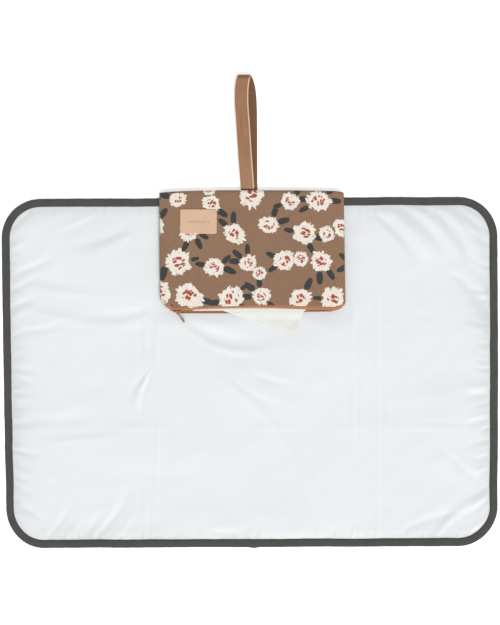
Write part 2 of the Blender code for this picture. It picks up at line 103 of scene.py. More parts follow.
class Value:
    """A node socket that arithmetic extends with more nodes."""

    def __init__(self, tree, socket):
        self.tree = tree
        self.socket = socket

    def math(self, operation, *others):
        node = self.tree.nodes.new("ShaderNodeMath")
        node.operation = operation
        for item, socket in zip((self, *others), node.inputs):
            feed(self.tree, item, socket)
        return Value(self.tree, node.outputs[0])

    def __add__(self, other):
        return self.math("ADD", other)

    def __sub__(self, other):
        return self.math("SUBTRACT", other)

    def __mul__(self, other):
        return self.math("MULTIPLY", other)

    def __truediv__(self, other):
        return self.math("DIVIDE", other)

    def step(self, low, high):
        """0 at low and 1 at high, eased between them. Low may be the larger."""
        node = self.tree.nodes.new("ShaderNodeMapRange")
        node.interpolation_type = "SMOOTHSTEP"
        for item, name in ((self, "Value"), (low, "From Min"), (high, "From Max")):
            feed(self.tree, item, node.inputs[name])
        return Value(self.tree, node.outputs[0])

    def split(self):
        """The three parts of a vector."""
        node = self.tree.nodes.new("ShaderNodeSeparateXYZ")
        feed(self.tree, self, node.inputs[0])
        return [Value(self.tree, output) for output in node.outputs]


def feed(tree, item, socket):
    """Link a Value to a socket, or set the socket to a plain number or colour."""
    if isinstance(item, Value):
        tree.links.new(item.socket, socket)
    elif isinstance(item, tuple) and len(item) == 3 and socket.type == "RGBA":
        socket.default_value = (*item, 1.0)
    else:
        socket.default_value = item


class Finish:
    """A Principled material that is built up from procedural nodes."""

    def __init__(self, name, **sockets):
        self.material = bpy.data.materials.new(name)
        self.material.use_nodes = True
        self.tree = self.material.node_tree
        self.shader = self.tree.nodes["Principled BSDF"]
        for socket, value in sockets.items():
            feed(self.tree, value, self.shader.inputs[socket.replace("_", " ")])

    def node(self, kind, output, inputs, **settings):
        node = self.tree.nodes.new("ShaderNode" + kind)
        for setting, value in settings.items():
            setattr(node, setting, value)
        for name, item in inputs.items():
            feed(self.tree, item, node.inputs[name])
        return Value(self.tree, node.outputs[output])

    def uv(self, name):
        return self.node("UVMap", "UV", {}, uv_map=name)

    def place(self):
        return self.node("TexCoord", "Object", {})

    def join(self, x, y, z=0.0):
        return self.node("CombineXYZ", 0, {"X": x, "Y": y, "Z": z})

    def scaled(self, vector, x, y, z=1.0):
        return self.node("Mapping", 0, {"Vector": vector, "Scale": (x, y, z)})

    def noise(self, vector, scale, detail=2.0, roughness=0.5):
        inputs = {"Vector": vector, "Scale": scale, "Detail": detail, "Roughness": roughness}
        return self.node("TexNoise", 0, inputs)

    def cells(self, vector, scale):
        return self.node("TexVoronoi", 0, {"Vector": vector, "Scale": scale})

    def mix(self, share, first, second):
        """The first colour, turning into the second as the share goes from 0 to 1."""
        return self.node("Mix", 2, {0: share, 6: first, 7: second}, data_type="RGBA")

    def paint(self, colour=None, roughness=None, height=None, depth=0.0002):
        """Feed the shader. Height is 0 to 1 and stands for a relief of that depth."""
        if colour is not None:
            feed(self.tree, colour, self.shader.inputs["Base Color"])
        if roughness is not None:
            feed(self.tree, roughness, self.shader.inputs["Roughness"])
        if height is not None:
            bump = self.tree.nodes.new("ShaderNodeBump")
            bump.inputs["Distance"].default_value = depth
            feed(self.tree, height, bump.inputs["Height"])
            self.tree.links.new(bump.outputs[0], self.shader.inputs["Normal"])
        return self.material


# ---------------------------------------------------------------- materials

TURN = 2 * math.pi
CANVAS_THREAD = 0.0009
CANVAS_RELIEF = 0.00022
MUSLIN_THREAD = 0.0011
BINDING_RIB = 0.0011
HERRINGBONE_ROW = 0.0036
HERRINGBONE_RIB = 0.0010


def weave(uv, pitch):
    """Height of a plain weave with threads that far apart, between 0 and 1."""
    x, y, _ = uv.split()
    across = (x * (TURN / pitch)).math("SINE")
    along = (y * (TURN / pitch)).math("SINE")
    return (across * along) * 0.5 + 0.5


def coated_sheet():
    """Wipe-clean polyurethane on polyester: cool white, satin, faintly pebbled.

    The uv map "handled" holds 1 by the binding and 1 in the depth of a pucker, where
    shade is painted on the coating.
    """
    f = Finish("coated_sheet", Specular_IOR_Level=0.45, Sheen_Weight=0.08, Coat_Weight=0.06)
    uv = f.uv("cloth")
    cloud = f.noise(uv, 9.0, 3.0)
    pebble = f.noise(uv, 900.0, 2.0)
    tone = f.mix(cloud, (0.674, 0.700, 0.710), (0.700, 0.724, 0.734))
    # Painted shade: the sheet is darkened beside the binding and in the puckers' hollows.
    rim, hollow, _ = f.uv("handled").split()
    tone = f.mix(rim * 0.45 + hollow * 0.40, tone, (0.470, 0.505, 0.515))
    rough = f.noise(uv, 30.0, 2.0) * 0.16 + 0.40
    relief = pebble * 0.35 + f.noise(uv, 260.0, 3.0) * 0.65
    return f.paint(tone, rough, relief, 0.00012)


def binding_tape():
    """Charcoal cotton bias tape: a slanted rib and lint, with shade painted on its outer edge,
    where the tape rolls down.
    """
    f = Finish("binding_tape", Sheen_Weight=0.12, Sheen_Roughness=0.6, Specular_IOR_Level=0.25)
    uv = f.uv("cloth")
    x, y, _ = uv.split()
    rib = ((x + y) * (TURN / BINDING_RIB)).math("SINE") * 0.5 + 0.5
    lint = f.noise(uv, 420.0, 3.0)
    patch = f.noise(uv, 45.0, 3.0)
    tone = f.mix(patch, (0.050, 0.050, 0.046), (0.078, 0.077, 0.071))
    tone = f.mix(lint.step(0.62, 0.80) * 0.5, tone, (0.150, 0.148, 0.138))
    tone = f.mix(rib * 0.25, tone, (0.030, 0.030, 0.028))
    # Painted shade: darker on the outer edge, where the tape rolls down towards the floor.
    outer, _, _ = f.uv("edge").split()
    tone = f.mix(outer.step(0.16, 0.03) * 0.6, tone, (0.018, 0.018, 0.017))
    return f.paint(tone, lint * 0.2 + 0.72, rib * 0.6 + lint * 0.4, 0.00025)


def canvas_ground(f, uv):
    """Brown canvas before it is printed: its colour and the height of its weave."""
    thread = weave(uv, CANVAS_THREAD)
    slub = f.noise(f.scaled(uv, 240.0, 1400.0), 1.0, 3.0)
    stripe = f.noise(f.scaled(uv, 900.0, 90.0), 1.0, 2.0)
    patch = f.noise(uv, 14.0, 3.0)
    tone = f.mix(patch, (0.216, 0.121, 0.070), (0.254, 0.146, 0.087))
    tone = f.mix(stripe.step(0.40, 0.75) * 0.5, tone, (0.286, 0.176, 0.107))
    tone = f.mix(slub.step(0.55, 0.75) * 0.45, tone, (0.176, 0.096, 0.055))
    return tone, thread * 0.6 + slub * 0.4


def printed_canvas():
    """Brown cotton canvas, printed with ragged cream blossoms and slate leaves.

    The uv maps "bloom" and "leaf" measure every face from its nearest blossom and leaf,
    in units of their size, and "seed" tells one blossom and leaf from the next.
    """
    f = Finish("printed_canvas", Sheen_Weight=0.10, Sheen_Roughness=0.7, Specular_IOR_Level=0.2)
    uv = f.uv("cloth")
    ground, height = canvas_ground(f, uv)
    seed_bloom, seed_leaf, _ = f.uv("seed").split()

    along, across, _ = f.uv("leaf").split()
    brush = f.noise(f.join(along * 5.0, across * 40.0, seed_leaf * 9.0), 1.0, 2.0)
    ragged = f.noise(f.join(along * 7.0, across * 7.0, seed_leaf * 5.0), 1.0, 3.0) - 0.5
    tip = along.math("ABSOLUTE") + across.math("ABSOLUTE") * 0.10 + ragged * 0.10
    swell = (tip * 2.05).math("POWER", 3.5) * -1.0 + 1.0
    half = swell.math("MAXIMUM", 0.0).math("SQRT") * (along * -0.07 + 0.235) + ragged * 0.10
    leaf = (across.math("ABSOLUTE") - half).step(0.006, -0.012) * tip.step(0.490, 0.470)
    leaf_tone = f.mix(brush.step(0.50, 0.72), (0.030, 0.032, 0.031), (0.052, 0.055, 0.053))
    tone = f.mix(leaf, ground, leaf_tone)

    flat_x, flat_y, _ = f.uv("bloom").split()
    sway = f.noise(f.join(flat_x * 1.5, flat_y * 1.5, seed_bloom * 7.0), 1.0, 1.0) - 0.5
    x = flat_x + sway * 0.30
    y = flat_y + sway * 0.22
    radius = (x * x + y * y).math("SQRT")
    safe = radius.math("MAXIMUM", 0.02)
    turn_x = x / safe
    turn_y = y / safe
    petals = f.noise(f.join(turn_x * 1.3, turn_y * 1.3, seed_bloom * 13.0), 1.0, 1.0)
    tatter = f.noise(f.join(turn_x * 1.1, turn_y * 1.1, seed_bloom * 23.0), 1.0, 1.0)
    curl = radius * 1.4 + seed_bloom * 17.0
    spikes = f.noise(f.join(turn_x * 4.2, turn_y * 4.2, curl), 1.0, 1.5)
    rim = petals * 0.34 + spikes.step(0.30, 0.70) * (tatter.step(0.34, 0.54) * 0.19 + 0.06) + 0.60
    bloom = (radius - rim).step(0.012, -0.014)
    slits = f.noise(f.join(turn_x * 8.0, turn_y * 8.0, radius * 1.6 + seed_bloom), 1.0, 1.0)
    slit = slits.step(0.640, 0.665) * radius.step(0.66, 0.76)
    bloom = bloom * (slit * -1.0 + 1.0)
    streak = f.noise(f.join(turn_x * 7.0, turn_y * 7.0, radius * 4.0 + seed_bloom), 1.0, 2.0)
    cream = f.mix(streak.step(0.30, 0.62), (0.672, 0.606, 0.526), (0.760, 0.704, 0.634))
    tone = f.mix(bloom, tone, cream)

    wobble = f.noise(f.join(x * 6.0, y * 6.0, seed_bloom * 3.0), 1.0, 2.0) - 0.5
    cell = f.join(x * 4.8 + seed_bloom * 40.0 + wobble * 0.5, y * 2.3 + wobble * 0.5)
    cells = {"Vector": cell, "Scale": 1.0, "Randomness": 0.8}
    dab = f.node("TexVoronoi", "Distance", cells, voronoi_dimensions="2D")
    tint = f.node("TexVoronoi", "Color", cells, voronoi_dimensions="2D")
    chance, size, _ = tint.split()
    heart = (radius + wobble * 0.12).step(0.50, 0.45)
    stroke = (dab - (size * 0.13 + 0.36)).step(0.03, -0.03) * chance.step(0.16, 0.22) * heart
    rust = f.mix(streak, (0.285, 0.050, 0.023), (0.385, 0.086, 0.040))
    tone = f.mix(stroke * bloom, tone, rust)
    ink = leaf.math("MAXIMUM", bloom)
    return f.paint(tone, ink * -0.08 + 0.88, height * (ink * -0.35 + 1.0), CANVAS_RELIEF)


def plain_canvas():
    """The same canvas where it is too narrow for the print to show."""
    f = Finish("plain_canvas", Sheen_Weight=0.10, Sheen_Roughness=0.7, Specular_IOR_Level=0.2)
    tone, height = canvas_ground(f, f.uv("cloth"))
    return f.paint(tone, 0.88, height, CANVAS_RELIEF)


def wadding_felt():
    """Loose white polyester fibre."""
    f = Finish("wadding_felt", Roughness=0.95, Sheen_Weight=0.2)
    uv = f.uv("cloth")
    fibre = f.noise(uv, 700.0, 4.0, 0.7)
    tone = f.mix(fibre, (0.70, 0.70, 0.68), (0.86, 0.86, 0.84))
    return f.paint(tone, None, fibre, 0.0004)


def zip_tape_cloth():
    """Tan herringbone tape."""
    f = Finish("zip_tape_cloth", Sheen_Weight=0.12, Specular_IOR_Level=0.25)
    uv = f.uv("cloth")
    x, y, _ = uv.split()
    rows = (y * (TURN / HERRINGBONE_ROW)).math("SINE").math("SIGN")
    bone = ((x + rows * y) * (TURN / HERRINGBONE_RIB)).math("SINE") * 0.5 + 0.5
    patch = f.noise(uv, 60.0, 3.0)
    tone = f.mix(patch, (0.400, 0.172, 0.084), (0.470, 0.216, 0.112))
    tone = f.mix(bone * 0.30, tone, (0.290, 0.112, 0.052))
    return f.paint(tone, 0.8, bone * 0.7 + patch * 0.3, 0.0002)


def nylon_coil():
    """Moulded nylon, a little darker than the tape."""
    f = Finish("nylon_coil", Specular_IOR_Level=0.5)
    speck = f.noise(f.place(), 500.0, 3.0)
    tone = f.mix(speck, (0.290, 0.110, 0.054), (0.400, 0.170, 0.090))
    return f.paint(tone, speck * 0.15 + 0.35, speck, 0.00005)


def copper_metal():
    """Copper-toned zip metal with fine scratches and duller patches."""
    f = Finish("copper_metal", Metallic=1.0)
    place = f.place()
    scratch = f.noise(f.scaled(place, 300.0, 2600.0, 300.0), 1.0, 3.0)
    tarnish = f.noise(place, 420.0, 3.0)
    tone = f.mix(tarnish.step(0.40, 0.70), (0.390, 0.205, 0.118), (0.540, 0.315, 0.205))
    return f.paint(tone, tarnish * 0.22 + 0.24, scratch, 0.00003)


def leather_grain(f, uv, scale):
    """Height of a fine pebbled grain with pores."""
    pebble = f.cells(uv, scale)
    fine = f.noise(uv, scale * 2.3, 3.0)
    return pebble * 0.6 + fine * 0.4


def tag_leather():
    """Light natural leather. The uv map "press" is 1 where the stamp has darkened it."""
    f = Finish("tag_leather", Specular_IOR_Level=0.35, Coat_Weight=0.04)
    uv = f.uv("cloth")
    grain = leather_grain(f, uv, 1300.0)
    patch = f.noise(uv, 70.0, 4.0, 0.6)
    press, rim, _ = f.uv("press").split()
    tone = f.mix(patch, (0.552, 0.358, 0.238), (0.624, 0.432, 0.306))
    tone = f.mix(grain.step(0.55, 0.85) * 0.2, tone, (0.540, 0.330, 0.205))
    tone = f.mix(press * 0.60, tone, (0.430, 0.240, 0.130))
    tone = f.mix(rim * 0.70, tone, (0.860, 0.660, 0.490))
    return f.paint(tone, patch * 0.2 + 0.48, grain, 0.00008)


def strap_leather():
    """Tan leather: smooth outside, darker suede inside and paler cut edges.

    The uv map "side" holds 1 on the band's inner face, and 1 on its cut edges. The map
    "worn" holds 1 for painted shade round its tip, and 1 for a painted shadow where it is sewn in.
    """
    f = Finish("strap_leather", Specular_IOR_Level=0.38, Coat_Weight=0.05)
    uv = f.uv("cloth")
    grain = leather_grain(f, uv, 1100.0)
    streak = f.noise(f.scaled(uv, 22.0, 520.0), 1.0, 3.0)
    patch = f.noise(uv, 40.0, 4.0, 0.6)
    inner, edge, _ = f.uv("side").split()
    bend, base, _ = f.uv("worn").split()
    tone = f.mix(patch, (0.230, 0.111, 0.051), (0.308, 0.157, 0.077))
    tone = f.mix(streak.step(0.42, 0.72) * 0.55, tone, (0.358, 0.198, 0.107))
    tone = f.mix(grain.step(0.55, 0.85) * 0.25, tone, (0.180, 0.082, 0.038))
    tone = f.mix(inner * 0.80, tone, (0.122, 0.058, 0.029))
    tone = f.mix(edge, tone, (0.600, 0.385, 0.240))
    # Painted shade where the band curls away round its tip, and a painted shadow where it goes in
    # under the pouch's top fold.
    tone = f.mix(bend * 0.65, tone, (0.090, 0.048, 0.027))
    tone = f.mix(base * 0.55, tone, (0.110, 0.058, 0.032))
    return f.paint(tone, inner * 0.3 + 0.50, grain * 0.7 + streak * 0.3, 0.0001)


def cotton_muslin():
    """Soft off-white double cotton."""
    f = Finish("cotton_muslin", Roughness=0.92, Sheen_Weight=0.25, Specular_IOR_Level=0.2)
    uv = f.uv("cloth")
    thread = weave(uv, MUSLIN_THREAD)
    cloud = f.noise(uv, 40.0, 3.0)
    tone = f.mix(cloud, (0.680, 0.684, 0.650), (0.724, 0.728, 0.694))
    return f.paint(tone, None, thread * 0.6 + cloud * 0.4, 0.00025)


def sewing_thread(name, dark, light):
    """Twisted polyester thread in one shade."""
    f = Finish(name, Roughness=0.6, Specular_IOR_Level=0.4)
    place = f.place()
    twist = f.noise(f.scaled(place, 2500.0, 2500.0, 2500.0), 1.0, 2.0)
    return f.paint(f.mix(twist, dark, light), None, twist, 0.00008)


# ---------------------------------------------------------------- mesh helpers


def link(name, mesh, material):
    """Add an object for a mesh, smooth shaded and with one material."""
    piece = bpy.data.objects.new(name, mesh)
    bpy.context.scene.collection.objects.link(piece)
    mesh.materials.append(material)
    mesh.shade_smooth()
    return piece


def set_uv(mesh, name, values):
    """A uv map from one pair of numbers for each vertex."""
    layer = mesh.uv_layers.new(name=name)
    corners = np.empty(len(mesh.loops), int)
    mesh.loops.foreach_get("vertex_index", corners)
    values = np.asarray(values, np.float32).reshape(-1, 2)
    layer.data.foreach_set("uv", values[corners].ravel())


def grid_mesh(name, points, uvs, flip=False):
    """A sheet of quads through a table of points, rows by columns."""
    rows, columns = points.shape[:2]
    index = np.arange(rows * columns).reshape(rows, columns)
    corners = [index[:-1, :-1], index[:-1, 1:], index[1:, 1:], index[1:, :-1]]
    if flip:
        corners.reverse()
    faces = stacked(*corners).reshape(-1, 4)
    mesh = bpy.data.meshes.new(name)
    mesh.from_pydata(points.reshape(-1, 3).tolist(), [], faces.tolist())
    set_uv(mesh, "cloth", uvs)
    return mesh


def sweep_mesh(name, rings, closed_ends=True):
    """A tube through rings of points, each ring closed, with flat ends."""
    rings = np.asarray(rings, float)
    count, size = rings.shape[:2]
    index = np.arange(count * size).reshape(count, size)
    after = np.roll(index, -1, axis=1)
    faces = stacked(index[:-1], after[:-1], after[1:], index[1:]).reshape(-1, 4).tolist()
    if closed_ends:
        faces += [index[0].tolist()[::-1], index[-1].tolist()]
    mesh = bpy.data.meshes.new(name)
    mesh.from_pydata(rings.reshape(-1, 3).tolist(), [], faces)
    steps = np.linalg.norm(np.diff(rings, axis=0), axis=2).mean(axis=1)
    lengths = np.concatenate([[0.0], np.cumsum(steps)])
    gaps = np.linalg.norm(np.roll(rings[0], -1, axis=0) - rings[0], axis=1)
    around = np.concatenate([[0.0], np.cumsum(gaps)[:-1]])
    set_uv(mesh, "cloth", stacked(lengths[:, None], around[None, :]))
    outward(mesh)
    return mesh


def outward(mesh):
    """Turn a closed mesh's faces outwards."""
    shape = bmesh.new()
    shape.from_mesh(mesh)
    bmesh.ops.recalc_face_normals(shape, faces=shape.faces)
    shape.to_mesh(mesh)
    shape.free()


def thicken(piece, thickness, offset=-1.0):
    """Give a sheet its thickness."""
    solidify = piece.modifiers.new("thickness", "SOLIDIFY")
    solidify.thickness = thickness
    solidify.offset = offset
    return piece


# ---------------------------------------------------------------- noise, tables and paths


def smooth_noise(x, y, size, seed):
    """Perlin noise from about -1 to 1, with features that size."""
    return noise.noise(Vector((x / size, y / size, seed)))


def noise_field(x, y, size_x, size_y, seed):
    """Perlin noise over arrays of places."""
    places = zip(np.ravel(x), np.ravel(y))
    flat = [noise.noise(Vector((a / size_x, b / size_y, seed))) for a, b in places]
    return np.array(flat).reshape(np.shape(x))


def waver(run, size, seed):
    """Perlin noise along one direction, for an array of places."""
    return noise_field(run, run * 0, size, 1.0, seed)


def metres(*rows):
    """A table written in millimetres."""
    return np.array(rows) / 1000


def through(table, x):
    """Straight lines through (x, value) pairs, read at an array of x."""
    return np.interp(x, *table.T)


def stacked(*parts):
    """Arrays of x, y and perhaps z as one array of places."""
    return np.stack(np.broadcast_arrays(*parts), axis=-1)


def eased(share):
    """A share held between 0 and 1, with a soft start and end."""
    share = np.clip(share, 0, 1)
    return share * share * (3 - 2 * share)


def bump(away, width):
    """1 at no distance, falling off on both sides."""
    return np.exp(-((away / width) ** 2))


def smoothed(line, passes):
    """Numbers or places in a row, smoothed with their neighbours. Both ends are held."""
    line = np.array(line, float)
    for _ in range(passes):
        line[1:-1] = (line[:-2] + 2 * line[1:-1] + line[2:]) / 4
    return line


def run_along(points):
    """The length covered at each point of a path."""
    return np.concatenate([[0.0], np.cumsum(np.linalg.norm(np.diff(points, axis=0), axis=1))])


def at_length(points, run, lengths):
    """The places on a path where those lengths are covered."""
    return stacked(*[np.interp(lengths, run, column) for column in points.T])


def polar(x, y, turn, reach):
    """The place that lies that far from x, y in a direction."""
    return x + reach * math.cos(turn), y + reach * math.sin(turn)


def round_places(count, power=1.0, shift=0.0):
    """Places round a unit circle. A power below 1 pushes them out towards its corners."""
    places = []
    for number in range(count):
        angle = TURN * (number + shift) / count
        pair = (math.cos(angle), math.sin(angle))
        places.append([math.copysign(abs(part) ** power, part) for part in pair])
    return places


# ---------------------------------------------------------------- the print

BLOOM_PITCH = 0.0515
BLOOM_JITTER = 0.0085
BLOOM_RADII = (0.0136, 0.0228)
BLOOM_STRETCH = (0.80, 1.0)
ROW_SHARE = 0.87
PAIR_CHANCE = 0.25
PAIR_SIZES = (0.72, 0.9)
LEAF_LENGTHS = (0.0150, 0.0195)
# The leaves on a blossom's leading side, as turns away from it.
LEAF_FANS = ((-0.40, 0.40), (-0.42, 0.45), (0.0,), (-0.72, 0.0, 0.70))
FAN_DRAW = (0, 0, 1, 2, 3)
BACK_LEAF_CHANCE = 0.5
# How much nearer a motif counts for its size, when a face looks for its own.
BLOOM_GROW = 1.0
LEAF_GROW = 0.35


def print_layout(low, high, seed):
    """Scatter blossoms over an area, some in pairs, each with a few leaves round it.

    A motif is its place, size, turn, own random mark and how much it is squeezed across.
    """
    chance = random.Random(seed)
    blooms = []
    leaves = []
    rows = math.ceil((high[1] - low[1]) / (BLOOM_PITCH * ROW_SHARE)) + 2
    columns = math.ceil((high[0] - low[0]) / BLOOM_PITCH) + 2
    for row in range(rows):
        for column in range(columns):
            shift = 0.5 if row % 2 else 0.0
            x = low[0] + (column + shift - 0.6) * BLOOM_PITCH + chance.uniform(-1, 1) * BLOOM_JITTER
            y = low[1] + (row - 0.4) * BLOOM_PITCH * ROW_SHARE
            y += chance.uniform(-1, 1) * BLOOM_JITTER
            radius = chance.uniform(*BLOOM_RADII)
            turn, mark = chance.uniform(0, TURN), chance.random()
            blooms.append((x, y, radius, turn, mark, chance.uniform(*BLOOM_STRETCH)))
            facing = chance.uniform(0, TURN)
            if chance.random() < PAIR_CHANCE:
                mate = radius * chance.uniform(*PAIR_SIZES)
                mate_x, mate_y = polar(x, y, facing, -(radius + mate) * 0.80)
                gaps = [math.hypot(b[0] - mate_x, b[1] - mate_y) - b[2] - mate for b in blooms[:-1]]
                if min(gaps, default=0.0) >= 0:
                    turn, mark = chance.uniform(0, TURN), chance.random()
                    blooms.append((mate_x, mate_y, mate, turn, mark, 1.0))
            for spread in LEAF_FANS[chance.choice(FAN_DRAW)]:
                length = chance.uniform(*LEAF_LENGTHS)
                turn = facing + spread + chance.uniform(-0.1, 0.1)
                place = polar(x, y, turn, radius * 0.82 + length * 0.48)
                turn += chance.uniform(-0.2, 0.2)
                leaves.append((*place, length, turn, chance.random(), 1.0))
            if chance.random() < BACK_LEAF_CHANCE:
                turn = facing + math.pi + chance.uniform(-0.9, 0.9)
                length = chance.uniform(*LEAF_LENGTHS) * 0.8
                place = polar(x, y, turn, radius * 0.85 + length * 0.48)
                leaves.append((*place, length, turn, chance.random(), 1.0))
    return np.array(blooms), np.array(leaves)


def print_on(mesh, layout):
    """Write the print's uv maps: each face is measured from its nearest blossom and leaf."""
    faces = len(mesh.polygons)
    corners = np.empty(len(mesh.loops) * 2, np.float32)
    mesh.uv_layers["cloth"].data.foreach_get("uv", corners)
    corners = corners.reshape(faces, -1, 2).astype(float)
    centres = corners.mean(axis=1)
    seeds = []
    for name, motifs, grow in (("bloom", layout[0], BLOOM_GROW), ("leaf", layout[1], LEAF_GROW)):
        away = np.linalg.norm(centres[:, None, :] - motifs[None, :, :2], axis=2)
        nearest = motifs[np.argmin(away - grow * motifs[None, :, 2], axis=1)]
        local = (corners - nearest[:, None, :2]) / nearest[:, None, 2:3]
        cosine = np.cos(nearest[:, 3])[:, None]
        sine = np.sin(nearest[:, 3])[:, None]
        along = local[..., 0] * cosine + local[..., 1] * sine
        across = (local[..., 1] * cosine - local[..., 0] * sine) / nearest[:, 5, None]
        layer = mesh.uv_layers.new(name=name)
        layer.data.foreach_set("uv", stacked(along, across).astype(np.float32).ravel())
        seeds.append(np.repeat(nearest[:, 4], corners.shape[1]))
    layer = mesh.uv_layers.new(name="seed")
    layer.data.foreach_set("uv", stacked(*seeds).astype(np.float32).ravel())


# ---------------------------------------------------------------- the mat

SHEET_STEP = 0.003
BACKING_STEP = 0.0036
WADDING_STEP = 0.008
BACKING_PRINT = 11
SIM_STEP = 2
SETTLE_LEFT = 0.0082
SETTLE_RIGHT = 0.0014
SETTLE_TILT = 0.0016
BLUR_PASSES = 14
# Near a fold's axis the cloth has finer columns, and out to the straight reach they run
# parallel to it.
BEND_ZONE = 0.0170
BEND_STEP = 0.0010
STRAIGHT_REACH = 0.200
# The creases that the folded mat has kept: where they are and how strong.
CREASES_ACROSS = (
    (-0.159, 0.7), (-0.147, 0.5), (-0.131, 1.0), (0.145, 1.0), (0.160, 0.7), (0.181, 0.8),
)
CREASES_ALONG = ((0.070, 0.7), (-0.077, 0.8))
CREASE_HEIGHT = 0.0006
SWELL_HEIGHT = 0.0011
RIPPLE_HEIGHT = 0.00035
PUCKER_SEED = 31
# Boxes under which the pouch and the hanging cloth press the sheet flat, and how far
# from them it is free again.
POUCH_PRESS = ((-0.122, 0.090), (0.128, 0.300))
POUCH_PRESS_FADE = 0.026
CLOTH_PRESS = ((0.010, 0.062), (0.066, 0.090))
CLOTH_PRESS_FADE = 0.040
SLACK_FRAMES = 30
SLACK_GROWTH = 0.006
SLACK_SETTINGS = {
    "quality": 5,
    "mass": 0.15,
    "tension_stiffness": 12,
    "compression_stiffness": 12,
    "shear_stiffness": 4,
    "bending_stiffness": 2.0,
    "shrink_min": -SLACK_GROWTH,
    "shrink_max": -SLACK_GROWTH,
}
SLACK_HEIGHT = 0.0022
SLACK_FADE = 0.010
SHEET_SINK = 0.0001
SHEET_DIP = 0.0002
CROWN_HEIGHT = 0.0007
CROWN_REACH = 0.045
# Painted shade on the sheet: its reach from the binding, full depth in hollows, fade from the edge.
RIM_FADE = 0.011
HOLLOW_DEPTH = 0.0012
HOLLOW_FADE = 0.07


def settled(x, y):
    """Where the cut rectangle's points lie now: the cloth has settled a little skew."""
    reach = np.abs(x / HALF_WIDTH) ** 3
    down = np.clip(0.5 - y / (2 * HALF_DEPTH), 0, 1)
    left = SETTLE_LEFT * down**1.3
    right = SETTLE_RIGHT * np.abs(2 * down - 1) ** 1.5
    shift = np.where(x < 0, left, -right)
    return x + shift * reach, y + SETTLE_TILT * x / HALF_WIDTH


def row_half_width(y, inset):
    """How far a row of the rounded rectangle reaches from its middle, at height y."""
    radius = CORNER_RADIUS - inset
    over = np.clip(np.abs(y) - (HALF_DEPTH - CORNER_RADIUS), 0, radius)
    return HALF_WIDTH - CORNER_RADIUS + np.sqrt(radius**2 - over**2)


def crease_steps(high, step):
    """Places along x from the middle to high, closer together where a wing bends."""
    near = abs(RIGHT_FOLD.x) - BEND_ZONE
    far = abs(RIGHT_FOLD.x) + BEND_ZONE
    parts = []
    for low, top, size in ((0.0, near, step), (near, far, min(step, BEND_STEP)), (far, high, step)):
        parts.append(np.linspace(low, top, 2 * math.ceil((top - low) / size / 2) + 1)[:-1])
    return np.append(np.concatenate(parts), high)


def mat_points(inset, step):
    """A full sheet of places on the mat, as tables of x and y, before it has settled."""
    depth = HALF_DEPTH - inset
    rows = round(2 * depth / step / 2) * 2 + 1
    y = np.linspace(-depth, depth, rows)
    side = crease_steps(HALF_WIDTH - inset, step)
    x = np.concatenate([-side[:0:-1], side])[None, :] * np.ones((rows, 1))
    spare = np.maximum(np.abs(x) - STRAIGHT_REACH, 0)
    room = (row_half_width(y, inset) - STRAIGHT_REACH) / (HALF_WIDTH - inset - STRAIGHT_REACH)
    x = np.sign(x) * (np.minimum(np.abs(x), STRAIGHT_REACH) + spare * room[:, None])
    return x, np.broadcast_to(y[:, None], x.shape).copy()


def from_edge(x, y):
    """Distance in from the mat's edge."""
    over_x = np.abs(x) - (HALF_WIDTH - CORNER_RADIUS)
    over_y = np.abs(y) - (HALF_DEPTH - CORNER_RADIUS)
    in_corner = (over_x > 0) & (over_y > 0)
    round_depth = CORNER_RADIUS - np.hypot(over_x, over_y)
    straight_depth = np.minimum(HALF_WIDTH - np.abs(x), HALF_DEPTH - np.abs(y))
    return np.where(in_corner, round_depth, straight_depth)


# Folds in the top sheet, in millimetres: x and y of the start, x and y of the end, sideways
# bow, half width and height. A fold with a negative height is a hollow.
LONG_FOLDS = (
    (-168, 205, -262, 178, -6, 8.5, -1.3),
    (-215, 228, -285, 200, -4, 5, 0.6),
    (-330, 140, -272, 166, 2, 5, -1),
    (-333, 128, -165, 108, 6, 6.8, 0.6),
    (-333, 98, -165, 68, 8, 6.2, 0.6),
    (-140, 90, -235, 78, -4, 8, -1),
    (-330, 58, -250, 73, 3, 5, -0.8),
    (-333, -66, -180, -52, 7, 9, -0.8),
    (-300, -94, -165, -86, 3, 6, 0.5),
    (-139, 4, -158, -64, 7, 3.6, 1),
    (-146, -2, -170, -50, 6, 4, -0.9),
    (-88, 76, 40, 54, 21, 10.5, -1.4),
    (-95, 68, 52, 40, 24, 6, 0.7),
    (-50, 34, 12, 20, 6, 8, -0.8),
    (4, 0, 60, -20, 3, 5.5, -0.9),
    (-4, -22, 50, -52, 4, 5, -0.7),
    (-45, -5, 52, -98, -6, 5, 0.8),
    (40, -84, 92, -214, -10, 4.8, 1),
    (66, -108, 104, -216, -8, 4.2, 0.9),
    (172, 224, 236, 152, -7, 5.8, -2.1),
    (190, 230, 258, 156, -8, 5.2, 1.7),
    (209, 233, 272, 166, -7, 5.4, -2),
    (232, 233, 292, 158, -8, 5.2, 1.5),
    (256, 231, 306, 150, -8, 5.8, -2.1),
    (276, 230, 326, 148, -7, 4.8, 1.5),
    (293, 228, 335, 172, -5, 4.8, -1.8),
    (285, 140, 338, 62, -6, 5.6, -1.9),
    (300, 150, 338, 92, -5, 4, 0.9),
    (178, 10, 190, -90, -10, 5, 0.7),
    (186, -81, 338, -82, -3, 3.5, 0.4),
    (270, -105, 338, -165, 4, 5, -0.7),
    (204, -232, 322, -200, -10, 6, -0.6),
    (262, -232, 338, -176, -8, 6, 1),
    (-290, -233, -246, -172, 4, 5.2, -0.6),
    (-266, -233, -236, -196, 4, 4.5, 0.5),
    (-240, -233, -206, -190, 3, 5, -0.5),
    (-220, -234, -166, -156, 6, 6, -0.8),
    (-196, -234, -162, -190, 4, 4, 0.5),
    (-60, -222, 0, -224, 4, 5.5, -0.8),
)


